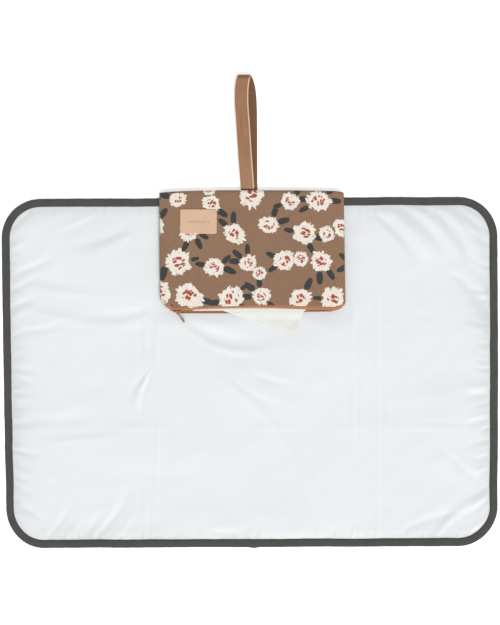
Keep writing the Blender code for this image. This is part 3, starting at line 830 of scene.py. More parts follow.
def fold_height(x, y, from_x, from_y, to_x, to_y, bow, width, height):
    """One fold: a soft ridge with a shallow hollow beside it, tapered at both ends."""
    length = math.hypot(to_x - from_x, to_y - from_y)
    way_x = (to_x - from_x) / length
    way_y = (to_y - from_y) / length
    along = ((x - from_x) * way_x + (y - from_y) * way_y) / length
    aside = (y - from_y) * way_x - (x - from_x) * way_y
    aside = aside + bow * 4 * along * (1 - along)
    inside = np.clip(along, 0, 1)
    taper = (np.sin(inside**0.75 * math.pi) ** 0.8) * ((along > 0) & (along < 1))
    wide = width * (0.65 + 0.6 * inside)
    ridge = bump(aside, wide) - 0.45 * bump(aside - 1.7 * wide, 1.4 * wide)
    return height * taper * ridge


def pucker_folds():
    """Short folds that start at the binding, longer and deeper along the two short sides."""
    chance = random.Random(PUCKER_SEED)
    folds = []
    edge_x = HALF_WIDTH - BINDING_WIDTH
    edge_y = HALF_DEPTH - BINDING_WIDTH
    for side in (-1, 1):
        at = -edge_y + 0.012
        while at < edge_y - 0.010:
            size = chance.random() ** 1.8
            reach = 0.008 + 0.036 * size
            corner = at / edge_y
            lean = chance.uniform(-0.35, 0.35) + 0.75 * corner
            ends = (side * (edge_x + 0.004), at, side * (edge_x - reach), at + reach * lean)
            folds.append((*ends, *random_pucker(chance, size)))
            at += chance.uniform(0.004, 0.010) + 0.010 * size
        at = -edge_x + 0.030
        while at < edge_x - 0.030:
            reach = chance.uniform(0.008, 0.020)
            lean = chance.uniform(-0.5, 0.5) + (0.4 if side > 0 and at > 0.13 else 0.0)
            ends = (at, side * (edge_y + 0.004), at + reach * lean, side * (edge_y - reach))
            folds.append((*ends, *random_pucker(chance, 0.2)))
            at += chance.uniform(0.007, 0.030)
    return folds


def random_pucker(chance, size):
    """A fold's bow, width and height, two out of three of them hollows. Size is 0 to 1."""
    height = (chance.uniform(0.0002, 0.0006) + 0.0006 * size) * chance.choice((-1, -1, 1))
    bow = chance.uniform(-0.002, 0.002)
    width = chance.uniform(0.0015, 0.0026) + 0.0024 * size
    return bow, width, height


def away_from(x, y, low, high):
    """Distance of each place from a box."""
    aside = np.maximum(np.maximum(low[0] - x, x - high[0]), 0)
    above = np.maximum(np.maximum(low[1] - y, y - high[1]), 0)
    return np.hypot(aside, above)


def freedom(x, y):
    """0 where the pouch and its cloth press the sheet flat, 1 where it is free to lift."""
    pouch = eased(away_from(x, y, *POUCH_PRESS) / POUCH_PRESS_FADE)
    cloth = 0.30 + 0.70 * eased(away_from(x, y, *CLOTH_PRESS) / CLOTH_PRESS_FADE)
    return np.minimum(pouch, cloth)


def sheet_relief(x, y):
    """The top sheet's relief: puckers along the binding, creases and long soft folds."""
    relief = np.zeros(x.shape)
    for fold in (*pucker_folds(), *metres(*LONG_FOLDS)):
        relief += fold_height(x, y, *fold)
    for at, strength in CREASES_ACROSS:
        line = at + 0.0020 * waver(y, 0.12, at * 40)
        power = np.clip(0.30 + 1.5 * waver(y, 0.10, at * 70), 0, 1)
        ridge = bump(x - line, 0.0032) - 0.5 * bump(x - line - 0.005, 0.004)
        relief += strength * CREASE_HEIGHT * power * ridge
    for at, strength in CREASES_ALONG:
        line = at + 0.003 * waver(x, 0.13, at * 50)
        power = np.clip(0.3 + 0.9 * waver(x, 0.10, at * 90), 0, 1)
        relief += strength * CREASE_HEIGHT * power * bump(y - line, 0.0040)
    relief += SWELL_HEIGHT * noise_field(x * 0.9 + y * 0.5, y, 0.095, 0.075, 1.9)
    relief += RIPPLE_HEIGHT * noise_field(x + y * 0.5, y * 0.9 - x * 0.4, 0.045, 0.020, 2.9)
    return relief * eased((from_edge(x, y) - BINDING_WIDTH + 0.001) / 0.004)


def blurred(table, passes):
    """A table smoothed with its neighbours, with its edges held."""
    for _ in range(passes):
        padded = np.pad(table, 1, mode="edge")
        across = (padded[1:-1, :-2] + padded[1:-1, 2:]) / 2
        along = (padded[:-2, 1:-1] + padded[2:, 1:-1]) / 2
        table = (2 * table + across + along) / 4
    return table


def settle_cloth(mesh, pinned):
    """Let a slightly slack cloth settle on level ground. Returns its points."""
    piece = bpy.data.objects.new("settling", mesh)
    bpy.context.scene.collection.objects.link(piece)
    piece.vertex_groups.new(name="pinned").add(pinned, 1.0, "REPLACE")
    ground_mesh = bpy.data.meshes.new("ground")
    ground_mesh.from_pydata([(-1, -1, 0), (1, -1, 0), (1, 1, 0), (-1, 1, 0)], [], [(0, 1, 2, 3)])
    ground = bpy.data.objects.new("ground", ground_mesh)
    bpy.context.scene.collection.objects.link(ground)
    ground.modifiers.new("collision", "COLLISION")
    ground.collision.thickness_outer = 0.001
    cloth = piece.modifiers.new("cloth", "CLOTH")
    for setting, value in SLACK_SETTINGS.items():
        setattr(cloth.settings, setting, value)
    cloth.settings.vertex_group_mass = "pinned"
    cloth.collision_settings.distance_min = 0.001
    cloth.collision_settings.use_self_collision = False
    for number in range(1, SLACK_FRAMES + 1):
        bpy.context.scene.frame_set(number)
    shape = piece.evaluated_get(bpy.context.evaluated_depsgraph_get()).to_mesh()
    points = np.empty(len(shape.vertices) * 3)
    shape.vertices.foreach_get("co", points)
    bpy.data.objects.remove(piece)
    bpy.data.objects.remove(ground)
    bpy.context.scene.frame_set(1)
    return points.reshape(-1, 3)


def slack_field(x, y):
    """How far the slack in the top sheet stands up, from a cloth simulation on a coarser grid."""
    coarse_x = x[::SIM_STEP, ::SIM_STEP]
    coarse_y = y[::SIM_STEP, ::SIM_STEP]
    start = 0.0025 + 0.0010 * noise_field(coarse_x, coarse_y, 0.05, 0.05, 2.2)
    points = stacked(coarse_x, coarse_y, start)
    mesh = grid_mesh("settling", points, points[..., :2])
    rows, columns = coarse_x.shape
    index = np.arange(rows * columns).reshape(rows, columns)
    edge = np.unique(np.concatenate([index[0], index[-1], index[:, 0], index[:, -1]]))
    heights = settle_cloth(mesh, edge.tolist())[:, 2].reshape(rows, columns)
    lift = blurred(np.clip(heights - 0.001, 0, 0.006), BLUR_PASSES)
    lift = SLACK_HEIGHT * np.tanh(lift / SLACK_HEIGHT)
    for count in x.shape[::-1]:
        fine = np.linspace(0, lift.shape[1] - 1, count)
        lift = np.array([np.interp(fine, np.arange(lift.shape[1]), line) for line in lift]).T
    return lift


def split_mat(name, points, uvs, material, flip=False, layout=None, handled=None):
    """Cut a full sheet down its middle into a left and a right half.

    Both halves keep the whole sheet's normals, so that the cut doesn't show.
    """
    whole = grid_mesh(name, points, uvs, flip)
    normals = np.empty(len(whole.vertices) * 3)
    whole.vertex_normals.foreach_get("vector", normals)
    normals = normals.reshape(points.shape)
    middle = points.shape[1] // 2
    pieces = []
    for side, part in (("left", slice(0, middle + 1)), ("right", slice(middle, None))):
        mesh = grid_mesh(name + "_" + side, points[:, part], uvs[:, part], flip)
        if layout:
            print_on(mesh, layout)
        # The sheet's mask for its painted shade, by the binding and in hollows.
        if handled is not None:
            set_uv(mesh, "handled", handled[:, part])
        piece = link(name + "_" + side, mesh, material)
        mesh.normals_split_custom_set_from_vertices(normals[:, part].reshape(-1, 3))
        pieces.append(piece)
    return pieces


def bend_at_crease(piece, side):
    """Bake a piece's transform into its mesh. The band round its wing's crease is worked out, but
    the piece is not blended over it.
    """
    fold = LEFT_FOLD if side == "left" else RIGHT_FOLD
    outward_x = -1 if side == "left" else 1
    half_band = math.pi * fold.z / 2
    start = (fold.x - outward_x * half_band, 0, 0)
    end = (fold.x + outward_x * half_band, 0, 0)
    side + "_wing"
    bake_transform(piece)


def stand_in(piece, slot, *nodes):
    """Hide the CAD nodes that a piece stands for. The piece and the slot are not used."""
    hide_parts(*nodes)


def hang_halves(halves, slot, layer):
    """Hide the CAD nodes of a layer's halves and bake their transforms. The left one also stands
    for its centre.
    """
    for side, piece in zip(("left", "right"), halves):
        centre = [layer + "_centre"] if side == "left" else []
        stand_in(piece, slot, layer + "_" + side, *centre)
        bend_at_crease(piece, side)


def make_top_sheet(material):
    """The white wipe-clean sheet: its folds and puckers, and the slack of a settled cloth.

    Shade is painted on it beside the binding, most along its two short sides, and in the hollows of
    folds near the edge.
    """
    x, y = mat_points(SHEET_EDGE_INSET, SHEET_STEP)
    folds = sheet_relief(x, y)
    relief = folds.copy()
    depth = from_edge(x, y)
    relief += slack_field(x, y) * np.clip((depth - BINDING_WIDTH) / SLACK_FADE, 0, 1)
    free = freedom(x, y)
    relief = relief * free
    relief += CROWN_HEIGHT * eased((depth - BINDING_WIDTH) / CROWN_REACH) * free
    z = SHEET_TOP - SHEET_SINK + np.maximum(relief, -SHEET_DIP)
    # Where shade is painted on the sheet: beside the binding, and in the hollows of its folds.
    rim = np.exp(-np.maximum(depth - BINDING_WIDTH, 0) / RIM_FADE)
    rim = rim * (0.3 + 0.7 * eased((np.abs(x) - 0.05) / 0.22))
    hollow = np.clip(-folds / HOLLOW_DEPTH, 0, 1) * np.exp(-depth / HOLLOW_FADE)
    points = stacked(*settled(x, y), z)
    handled = stacked(rim, hollow)
    halves = split_mat("sheet", points, stacked(x, y), material, handled=handled)
    hang_halves(halves, "coated_sheet", "top_sheet")


def make_under_layers(canvas, felt):
    """The backing canvas, printed on its underside, and the wadding above it."""
    x, y = mat_points(BINDING_WIDTH * 0.6, BACKING_STEP)
    z = WADDING_LOW - 0.00005 - 0.00003 * (1 + noise_field(x, y, 0.03, 0.03, 4.4))
    points = stacked(*settled(x, y), z)
    layout = print_layout((-HALF_WIDTH, -HALF_DEPTH), (HALF_WIDTH, HALF_DEPTH), BACKING_PRINT)
    halves = split_mat("under_canvas", points, stacked(-x, y), canvas, flip=True, layout=layout)
    hang_halves(halves, "floral_canvas", "backing")
    x, y = mat_points(BINDING_WIDTH + 0.0004, WADDING_STEP)
    z = WADDING_HIGH - 0.0001 + 0.00008 * noise_field(x, y, 0.02, 0.02, 6.1)
    halves = split_mat("filling", stacked(*settled(x, y), z), stacked(x, y), felt)
    for piece in halves:
        thicken(piece, WADDING_HIGH - WADDING_LOW - 0.0002)
    hang_halves(halves, "wadding", "wadding")


# The folded tape's section, from its outside round to its inside: how far in from the
# mat's edge, as a share of the tape's width, and how high.
BINDING_SECTION = (
    (1.00, 0.00002), (0.80, 0.0), (0.36, 0.0), (0.14, 0.00008), (0.045, 0.00045), (0.0, 0.00135),
    (0.045, 0.00225), (0.14, 0.00272), (0.36, 0.00290), (0.66, 0.00284), (0.86, 0.00270),
    (1.00, 0.00245), (0.985, 0.00212), (0.80, 0.00236), (0.36, 0.00245), (0.13, 0.00215),
    (0.085, 0.00135), (0.13, 0.00062), (0.36, 0.00040), (0.80, 0.00040), (0.985, 0.00040),
)
BINDING_STEP = 0.0028
BINDING_SWAY = 0.0005
BINDING_NICK = 0.00025
# Where the tape's two ends overlap on the bottom side, how long the overlap is, and how
# far it stands out.
JOIN_X = 0.006
JOIN_REACH = 0.006
JOIN_STEP = 0.0011
# The row of stitches: its distance in, as a share of the tape's width, and its height.
STITCH_LINE = 0.84
STITCH_HEIGHT = 0.00272
STITCH_STEP = 0.0006


def edge_path(side, inset, step):
    """Places and inward directions along half of the mat's edge, from bottom to top middle."""
    sign = -1 if side == "left" else 1
    radius = CORNER_RADIUS - inset
    core_x = HALF_WIDTH - inset - radius
    core_y = HALF_DEPTH - inset - radius

    def corner(middle_y, first, last):
        for angle in np.arange(first, last, step / radius):
            x, y = polar(core_x, middle_y, angle, radius)
            yield x, y, -math.cos(angle), -math.sin(angle)

    run = crease_steps(core_x, step)
    places = [(x, -core_y - radius, 0.0, 1.0) for x in run[:-1]]
    places += corner(-core_y, -math.pi / 2, 0)
    places += [(core_x + radius, y, -1.0, 0.0) for y in np.arange(-core_y, core_y, step)]
    places += corner(core_y, 0, math.pi / 2)
    places += [(x, core_y + radius, 0.0, -1.0) for x in run[::-1]]
    return [(sign * x, y, sign * inward_x, inward_y) for x, y, inward_x, inward_y in places]


def binding_ring(x, y, inward_x, inward_y):
    """The tape's section at one place on the edge, a little uneven, as sewn tape is."""
    ease = BINDING_SWAY * smooth_noise(x, y, 0.045, 7.0)
    ease += BINDING_NICK * smooth_noise(x, y, 0.009, 8.0)
    wide = 1.0 + 0.05 * smooth_noise(x, y, 0.06, 2.0)
    if y < 0:
        overlap = bump(x - JOIN_X, JOIN_REACH)
        ease -= JOIN_STEP * overlap
        wide += 0.08 * overlap
    plump = 1.0 + 0.08 * smooth_noise(x, y, 0.012, 5.0)
    ring = []
    for share, height in BINDING_SECTION:
        reach = ease + share * wide * BINDING_WIDTH
        lift = height * plump if height > 0.001 else height
        ring.append((x + inward_x * reach, y + inward_y * reach, lift))
    return ring


def make_binding(material, thread):
    """Folded tape round the whole edge, in two halves, with a row of stitches."""
    for side, other in (("left", "binding_top"), ("right", "binding_bottom")):
        rings = np.array([binding_ring(*place) for place in edge_path(side, 0.0, BINDING_STEP)])
        rings[..., 0], rings[..., 1] = settled(rings[..., 0], rings[..., 1])
        mesh = sweep_mesh("edge_tape_" + side, rings)
        # The uv map "edge" places the painted shade on the tape's outer edge.
        set_uv(mesh, "edge", np.tile(BINDING_SECTION, (len(rings), 1)))
        piece = link("edge_tape_" + side, mesh, material)
        stand_in(piece, "binding", "binding_" + side, other)
        bend_at_crease(piece, side)
        path = np.array(edge_path(side, BINDING_WIDTH * STITCH_LINE, STITCH_STEP))
        laid = stacked(*settled(path[:, 0], path[:, 1]), STITCH_HEIGHT)
        stitches = make_stitches("binding_stitches_" + side, laid, thread)
        bend_at_crease(stitches, side)


STITCH_LENGTH = 0.0028
STITCH_PITCH = 0.0040
STITCH_RADIUS = 0.00022
STITCH_SIDES = 6
# One stitch from end to end: share of its length, thickness and lift, in radii.
STITCH_PROFILE = (
    (0.0, 0.45, -1.1), (0.18, 0.95, 0.1), (0.5, 1.0, 0.35), (0.82, 0.95, 0.1), (1.0, 0.45, -1.1),
)


def make_stitches(name, path, material, pitch=STITCH_PITCH, length=STITCH_LENGTH):
    """A row of short stitches along a path of points, each one sunk at both ends."""
    run = run_along(path)
    vertices = []
    faces = []
    sides = STITCH_SIDES
    up = np.array((0, 0, 1))
    for start in np.arange(pitch * 0.2, run[-1] - length, pitch):
        first, last = at_length(path, run, (start, start + length))
        along = last - first
        across = np.cross(along / np.linalg.norm(along), up)
        base = len(vertices)
        for share, swell, lift in STITCH_PROFILE:
            centre = first + along * share + up * lift * STITCH_RADIUS
            for cosine, sine in round_places(sides):
                vertices.append(centre + (across * cosine + up * sine) * swell * STITCH_RADIUS)
        top = len(vertices) - sides
        for corner in range(base, top):
            after = corner + 1 if (corner - base + 1) % sides else corner + 1 - sides
            faces.append((corner, after, after + sides, corner + sides))
        faces.append(tuple(reversed(range(base, base + sides))))
        faces.append(tuple(range(top, top + sides)))
    mesh = bpy.data.meshes.new(name)
    mesh.from_pydata([tuple(v) for v in vertices], [], faces)
    outward(mesh)
    return link(name, mesh, material)


# ---------------------------------------------------------------- the pouch

CANVAS = 0.0006
TAPE = 0.0004
EDGE_HALF_HEIGHT = 0.0009
FULL_HALF_HEIGHT = (POUCH_HIGH_Z - POUCH_LOW_Z) / 2
PUFF_WIDTH = 0.017
DENT_HEIGHT = 0.00055
GATHER_HEIGHT = 0.00035
GATHER_REACH = 0.012
# Creases below the top fold, from where they start to where they are full.
CREASE_START = 0.225
CREASE_FULL = 0.250
TOP_CREASE_HEIGHT = 0.0004
HIGHEST_DENT = 0.0002
TOP_ROUND = 0.0044
TOP_TURN = math.radians(150)
TOP_STEPS = 15
HEM_STITCH_INSET = 0.0013
HEM_STITCH_PITCH = 0.0034
HEM_STITCH_LENGTH = 0.0025
# The print runs on from the front over the top and down the back.
POUCH_PRINT = 5
PRINT_MARGIN = 0.01
PRINT_REACH = 0.18
BACK_PRINT_SHIFT = 0.165
FRONT_GRID = (121, 72)
BACK_GRID = (101, 62)
# Outlines of the flat pouch, as (x, y) or, for its left side, (y, x).
HEM_LINE = metres(
    (-127, 90.3), (-110, 90.2), (-96, 90.7), (-78, 91.7), (-55, 92.6), (-31, 93.5), (0, 94.4),
    (20, 94.6), (45, 94.2), (63, 93.8), (90, 93.1), (110, 92.7), (134, 92.6),
)
LEFT_EDGE = metres(
    (84, -107.5), (89.7, -113.8), (94.8, -119.8), (99, -124.3), (101, -125.1), (115, -126),
    (244, -127.2), (256.5, -126.2),
)
LOW_CORNER = 0.007
LOW_CORNER_Y = 0.0995
RIGHT_EDGE = (0.1321, 0.1345)
TOP_EDGE = metres(
    (-127, 252.6), (-118, 253.8), (-90, 255.3), (-40, 256.3), (60, 256.2), (100, 255.7),
    (116, 255.2), (125, 254.7), (130, 254.1), (133, 252.8),
)
SEAM_HALF_WIDTH = 0.0011
SEAM_HALF_HEIGHT = 0.0013
SEAM_WRAP = 0.0034
SEAM_TAPER = 0.002
SEAM_RINGS = 110
SEAM_LOW = {"left": 0.0895, "right": 0.0928}
SEAM_TOP_GAP = 0.0012


def hem_height(x):
    """The hem's line over the zip: it rises where the mouth gapes."""
    return through(HEM_LINE, x)


def pouch_left(y):
    """The pouch's left edge, cut across at the zip's closed end."""
    return through(LEFT_EDGE, y)


def pouch_right(y):
    """The pouch's right edge: it spreads a little towards the hem and has a small round corner."""
    drop = np.clip(LOW_CORNER_Y - y, 0, LOW_CORNER * 0.99)
    down = np.clip((POUCH_TOP - y) / 0.155, 0, 1)
    spread = RIGHT_EDGE[0] + (RIGHT_EDGE[1] - RIGHT_EDGE[0]) * down
    return spread - (LOW_CORNER - np.sqrt(LOW_CORNER**2 - drop**2))


def half_height(x, y):
    """Half the stuffed pouch's thickness: full inside, thin at its two side seams."""
    inside = np.minimum(x - pouch_left(y), pouch_right(y) - x)
    share = np.clip(inside / PUFF_WIDTH, 0, 1)
    return EDGE_HALF_HEIGHT + (FULL_HALF_HEIGHT - EDGE_HALF_HEIGHT) * (1 - (1 - share) ** 2.4)


def front_height(x, y):
    """Height of the pouch's front face, with soft dents and gathers near the zip."""
    half = half_height(x, y)
    puff = half / FULL_HALF_HEIGHT
    dents = DENT_HEIGHT * noise_field(x, y, 0.062, 0.045, 12.0) - 0.00015
    near_hem = np.exp(-np.clip(y - hem_height(x), 0, None) / GATHER_REACH)
    gathers = GATHER_HEIGHT * noise_field(x, y, 0.010, 0.060, 14.0) * near_hem
    near_top = np.clip((y - CREASE_START) / (CREASE_FULL - CREASE_START), 0, 1)
    creases = TOP_CREASE_HEIGHT * noise_field(x * 0.9 + y * 0.4, y, 0.018, 0.075, 16.0) * near_top
    return POUCH_MID_Z + half + np.minimum(dents + gathers + creases, HIGHEST_DENT) * puff


def pouch_grid(columns, rows, face):
    """Places over the pouch: rows run up from the hem, then the front rows go over the top."""
    across = np.linspace(0, 1, columns)
    flat_x = POUCH_LEFT + across * (POUCH_RIGHT - POUCH_LEFT)
    top = through(TOP_EDGE, flat_x)
    hem = hem_height(flat_x)
    lines = []
    for share in np.linspace(0, 1, rows):
        y = hem + (top - TOP_ROUND - hem) * share
        x = pouch_left(y) + across * (pouch_right(y) - pouch_left(y))
        if face == "front":
            z = front_height(x, y)
        else:
            z = POUCH_MID_Z - half_height(x, y) + 0.0002 * noise_field(x, y, 0.04, 0.04, 18.0)
        lines.append(stacked(x, y, z))
    if face == "front":
        half = z - POUCH_MID_Z
        low_half = half_height(x, y)
        for turn in np.linspace(0, TOP_TURN, TOP_STEPS)[1:]:
            rise = half if turn < math.pi / 2 else low_half
            over = y + TOP_ROUND * math.sin(turn)
            lines.append(stacked(x, over, POUCH_MID_Z + rise * math.cos(turn)))
    points = np.array(lines)
    run = np.zeros(points.shape[:2])
    run[1:] = np.cumsum(np.linalg.norm(np.diff(points[..., 1:], axis=0), axis=2), axis=0)
    return points, stacked(points[..., 0], hem_height(points[..., 0]) + run)


def make_pouch(canvas, plain, thread):
    """The stuffed canvas pouch: front and top, back, side seams and the hem's stitches."""
    high = (POUCH_RIGHT, POUCH_TOP + PRINT_REACH)
    layout = print_layout((POUCH_LEFT, HEM_Y - PRINT_MARGIN), high, POUCH_PRINT)
    points, uvs = pouch_grid(*FRONT_GRID, "front")
    mesh = grid_mesh("pouch_front", points, uvs)
    print_on(mesh, layout)
    front = thicken(link("pouch_front", mesh, canvas), CANVAS)
    stand_in(front, "floral_canvas", "pouch_front_panel", "pouch_top_fold")
    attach(front, "pouch")
    points, uvs = pouch_grid(*BACK_GRID, "back")
    uvs = uvs * (1, -1) + (0, POUCH_TOP + HEM_Y + BACK_PRINT_SHIFT)
    mesh = grid_mesh("pouch_back", points, uvs, flip=True)
    print_on(mesh, layout)
    back = thicken(link("pouch_back", mesh, canvas), CANVAS)
    stand_in(back, "floral_canvas", "pouch_back_panel")
    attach(back, "pouch")
    for side in ("left", "right"):
        seam = make_side_seam(side, plain)
        stand_in(seam, "floral_canvas", "pouch_side_seam_" + side)
        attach(seam, "pouch")
    x = np.arange(POUCH_LEFT + 0.006, POUCH_RIGHT - 0.007, 0.001)
    y = hem_height(x) + HEM_STITCH_INSET
    path = stacked(x, y, front_height(x, y) - 0.00003)
    sizes = (HEM_STITCH_PITCH, HEM_STITCH_LENGTH)
    stitches = make_stitches("hem_stitches", path, thread, *sizes)
    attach(stitches, "pouch")


def make_side_seam(side, material):
    """The rolled, stitched edge where the pouch's front and back meet at one side."""
    left = side == "left"
    edge, inward, end = (pouch_left, 1, POUCH_LEFT) if left else (pouch_right, -1, POUCH_RIGHT)
    low = SEAM_LOW[side]
    high = float(through(TOP_EDGE, end)) - SEAM_TOP_GAP
    rings = []
    for y in np.linspace(low, high, SEAM_RINGS):
        x = float(edge(np.array(y))) + inward * SEAM_HALF_WIDTH
        close = min(1.0, (y - low) / SEAM_TAPER, (high - y) / SEAM_TAPER)
        size = 0.35 + 0.65 * math.sqrt(max(close, 0.0))
        pinch = 1 + 0.06 * math.sin(y * TURN / SEAM_WRAP) + 0.12 * smooth_noise(y, 0.0, 0.012, 3.0)
        wide, tall = SEAM_HALF_WIDTH * size, SEAM_HALF_HEIGHT * size * pinch
        rings.append([(x + wide * a, y, POUCH_MID_Z + tall * b) for a, b in round_places(12)])
    return link("seam_" + side, sweep_mesh("seam_" + side, rings), material)


# ---------------------------------------------------------------- the zip

TAPE_TOP_Y = 0.1040
TAPE_COLUMNS = 190
MOUTH_ROW_Y = 0.0985
FRONT_TAPE_EDGE = metres(
    (-117.5, 95), (-114, 90.5), (-111, 88.4), (-107, 87.4), (-96, 87.4), (-78, 88.7),
    (-46.5, 90.1), (-20, 90.8), (5, 91.2), (30, 90.9), (63, 89.7), (85, 88.8), (108, 88.2),
    (118, 88.4), (125, 89.6), (130, 92.2), (132.6, 95.2),
)
BACK_TAPE_EDGE = metres(
    (-117, 94), (-113, 89), (-109, 86.4), (-104, 84.6), (-98, 83.6), (-30, 83.6), (10, 84.2),
    (60, 85.1), (85, 85.7), (112, 86), (119, 87), (125, 88.6), (130, 91.4), (132.2, 94.5),
)
# Rows of the tape, by how far in they are from its free edge.
TAPE_ROWS = (0.0, 0.0004, 0.0008, 0.0013, 0.0019, 0.0026, 0.0035, 0.0046, 0.0060, 0.0080)
COIL_TURN_PITCH = 0.00115
COIL_WIRE = 0.00024
COIL_HALF_DEPTH = 0.000598
COIL_HALF_HEIGHT = 0.000468
COIL_INSET = 0.00045
COIL_SINK = 0.0006
COIL_STEPS = 10
TAPE_ROLL = 0.0005
TAPE_SWELL = 0.00035
TAPE_WAVE = 0.00025
# The bent end stops.
STOP_LENGTH = 0.0024
STOP_HALF_WIDTH = 0.00105
STOP_ROUNDING = 0.45
STOP_WAIST = 0.10
BOTTOM_STOP_Y = 0.0872
SLIDER_ROUNDING = 0.0007


def tape_height(x, sign):
    """Height of a tape's middle along the zip: apart in the mouth, together at both ends."""
    half = half_height(x, np.full(np.shape(x), MOUTH_ROW_Y))
    full = (FRONT_COIL_Z - BACK_COIL_Z) / 2
    return POUCH_MID_Z + sign * np.minimum(np.maximum(half - 0.0009, 0.0003), full)


def make_tape(name, edge, sign, material):
    """One tape, from inside the hem to its rolled free edge, where the coil is sewn on."""
    x = np.linspace(edge[0, 0], edge[-1, 0], TAPE_COLUMNS)
    low = smoothed(through(edge, x), 3)
    lines = []
    for reach in (*TAPE_ROWS, None):
        y = np.full(x.shape, TAPE_TOP_Y) if reach is None else np.minimum(low + reach, TAPE_TOP_Y)
        away = y - low
        roll = -TAPE_ROLL * np.clip(1 - away / 0.0012, 0, 1) ** 2
        swell = TAPE_SWELL * bump(away - 0.0022, 0.0014)
        wave = TAPE_WAVE * noise_field(x, y, 0.011, 0.02, 21.0 + sign) * np.exp(-away / 0.006)
        z = tape_height(x, sign) + (roll + swell) * (1 if sign > 0 else 0.5) + wave
        lines.append(stacked(x, y, z))
    points = np.array(lines)
    mesh = grid_mesh(name, points, points[..., :2])
    return thicken(link(name, mesh, material), TAPE, 0.0)


def make_coil(name, edge, z, inward, material):
    """A row of teeth: nylon wire wound in a coil along the tape's inner side."""
    count = round((COIL_RIGHT - COIL_LEFT) / COIL_TURN_PITCH) * COIL_STEPS
    curve = bpy.data.curves.new(name, "CURVE")
    curve.dimensions = "3D"
    curve.bevel_depth = COIL_WIRE
    curve.bevel_resolution = 1
    curve.use_fill_caps = True
    spline = curve.splines.new("POLY")
    spline.points.add(count)
    for index, point in enumerate(spline.points):
        share = index / count
        x = COIL_LEFT + (COIL_RIGHT - COIL_LEFT) * share
        turn = TURN * index / COIL_STEPS
        y = float(through(edge, x)) + COIL_INSET + COIL_HALF_DEPTH * math.cos(turn)
        point.co = (x, y, z - inward * COIL_SINK + COIL_HALF_HEIGHT * math.sin(turn), 1.0)
    shape = bpy.data.objects.new(name + "_curve", curve)
    bpy.context.scene.collection.objects.link(shape)
    solid = shape.evaluated_get(bpy.context.evaluated_depsgraph_get())
    mesh = bpy.data.meshes.new_from_object(solid)
    bpy.data.objects.remove(shape)
    mesh.materials.clear()
    return link(name, mesh, material)


def make_stop(name, x, y, low, high, material):
    """A bent metal clip round the end of a coil, with a pinched waist."""
    middle = (low + high) / 2
    around = round_places(20, STOP_ROUNDING, 0.5)
    rings = []
    for share in np.linspace(-1, 1, 11):
        swell = (1 - abs(share) ** 5) ** 0.5 * 0.4 + 0.6
        swell *= 1 - STOP_WAIST * bump(share, 0.25)
        at = x + share * STOP_LENGTH / 2
        wide = STOP_HALF_WIDTH * swell
        tall = (high - low) / 2 * (0.9 + 0.1 * swell)
        rings.append([(at, y + a * wide, middle + b * tall) for a, b in around])
    return link(name, sweep_mesh(name, rings), material)


def soften(node, material, width):
    """Keep a CAD node, with rounded edges and its own finish."""
    piece = bpy.data.objects[node]
    piece.data.materials.clear()
    piece.data.materials.append(material)
    bevel = piece.modifiers.new("rounded", "BEVEL")
    bevel.width = width
    bevel.segments = 3
    bevel.limit_method = "ANGLE"
    bevel.harden_normals = True
    piece.data.shade_smooth()


PULL_PIN = Vector(JOINTS["pull_swing"]["pos_m"])
PULL_START = 0.0012
PULL_LENGTH = 0.0158
PULL_TURN = math.radians(-52)
PULL_ROUNDING = 0.6
# The tab: half its width at the pin, what it gains towards its end, what its waist takes
# off, half its height at the pin and what that gains.
PULL_NECK = 0.0006
PULL_FLARE = 0.00075
PULL_WAIST = 0.0002
PULL_LOW = 0.0010
PULL_RISE = 0.0006
# The last share of the tab's length, which is rounded off.
PULL_TIP = 0.10
EYE_RADIUS = 0.00122
EYE_HALF_WIDTH = 0.00030
EYE_HALF_HEIGHT = 0.0010


def make_pull(material):
    """The pull: a ring round the slider's pin and a waisted tab that widens to a round end."""
    along = Vector((math.cos(PULL_TURN), math.sin(PULL_TURN), 0))
    across = Vector((-along.y, along.x, 0))
    up = Vector((0, 0, 1))
    around = round_places(20, PULL_ROUNDING)
    rings = []
    for share in np.linspace(0, 1, 34):
        at = PULL_PIN + along * (PULL_START + (PULL_LENGTH - PULL_START) * share)
        close = math.sqrt(max(1 - max(0.0, 1 - (1 - share) / PULL_TIP) ** 2, 0.02))
        wide = (PULL_NECK + PULL_FLARE * share**1.2 - PULL_WAIST * bump(share - 0.2, 0.1)) * close
        tall = (PULL_LOW + PULL_RISE * min(1.0, share * 4)) * close
        rings.append([tuple(at + across * (a * wide) + up * (b * tall)) for a, b in around])
    tab = link("pull_tab", sweep_mesh("pull_tab", rings), material)
    stand_in(tab, "zip_metal", "zip_pull")
    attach(tab, "pull")
    rings = []
    for turn in np.linspace(0, TURN, 33):
        ring = []
        for a, b in round_places(10):
            place = polar(PULL_PIN.x, PULL_PIN.y, turn, EYE_RADIUS + EYE_HALF_WIDTH * a)
            ring.append((*place, PULL_PIN.z + EYE_HALF_HEIGHT * b))
        rings.append(ring)
    eye = link("pull_eye", sweep_mesh("pull_eye", rings, closed_ends=False), material)
    weld = eye.modifiers.new("joined", "WELD")
    weld.merge_threshold = 0.00001
    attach(eye, "pull")


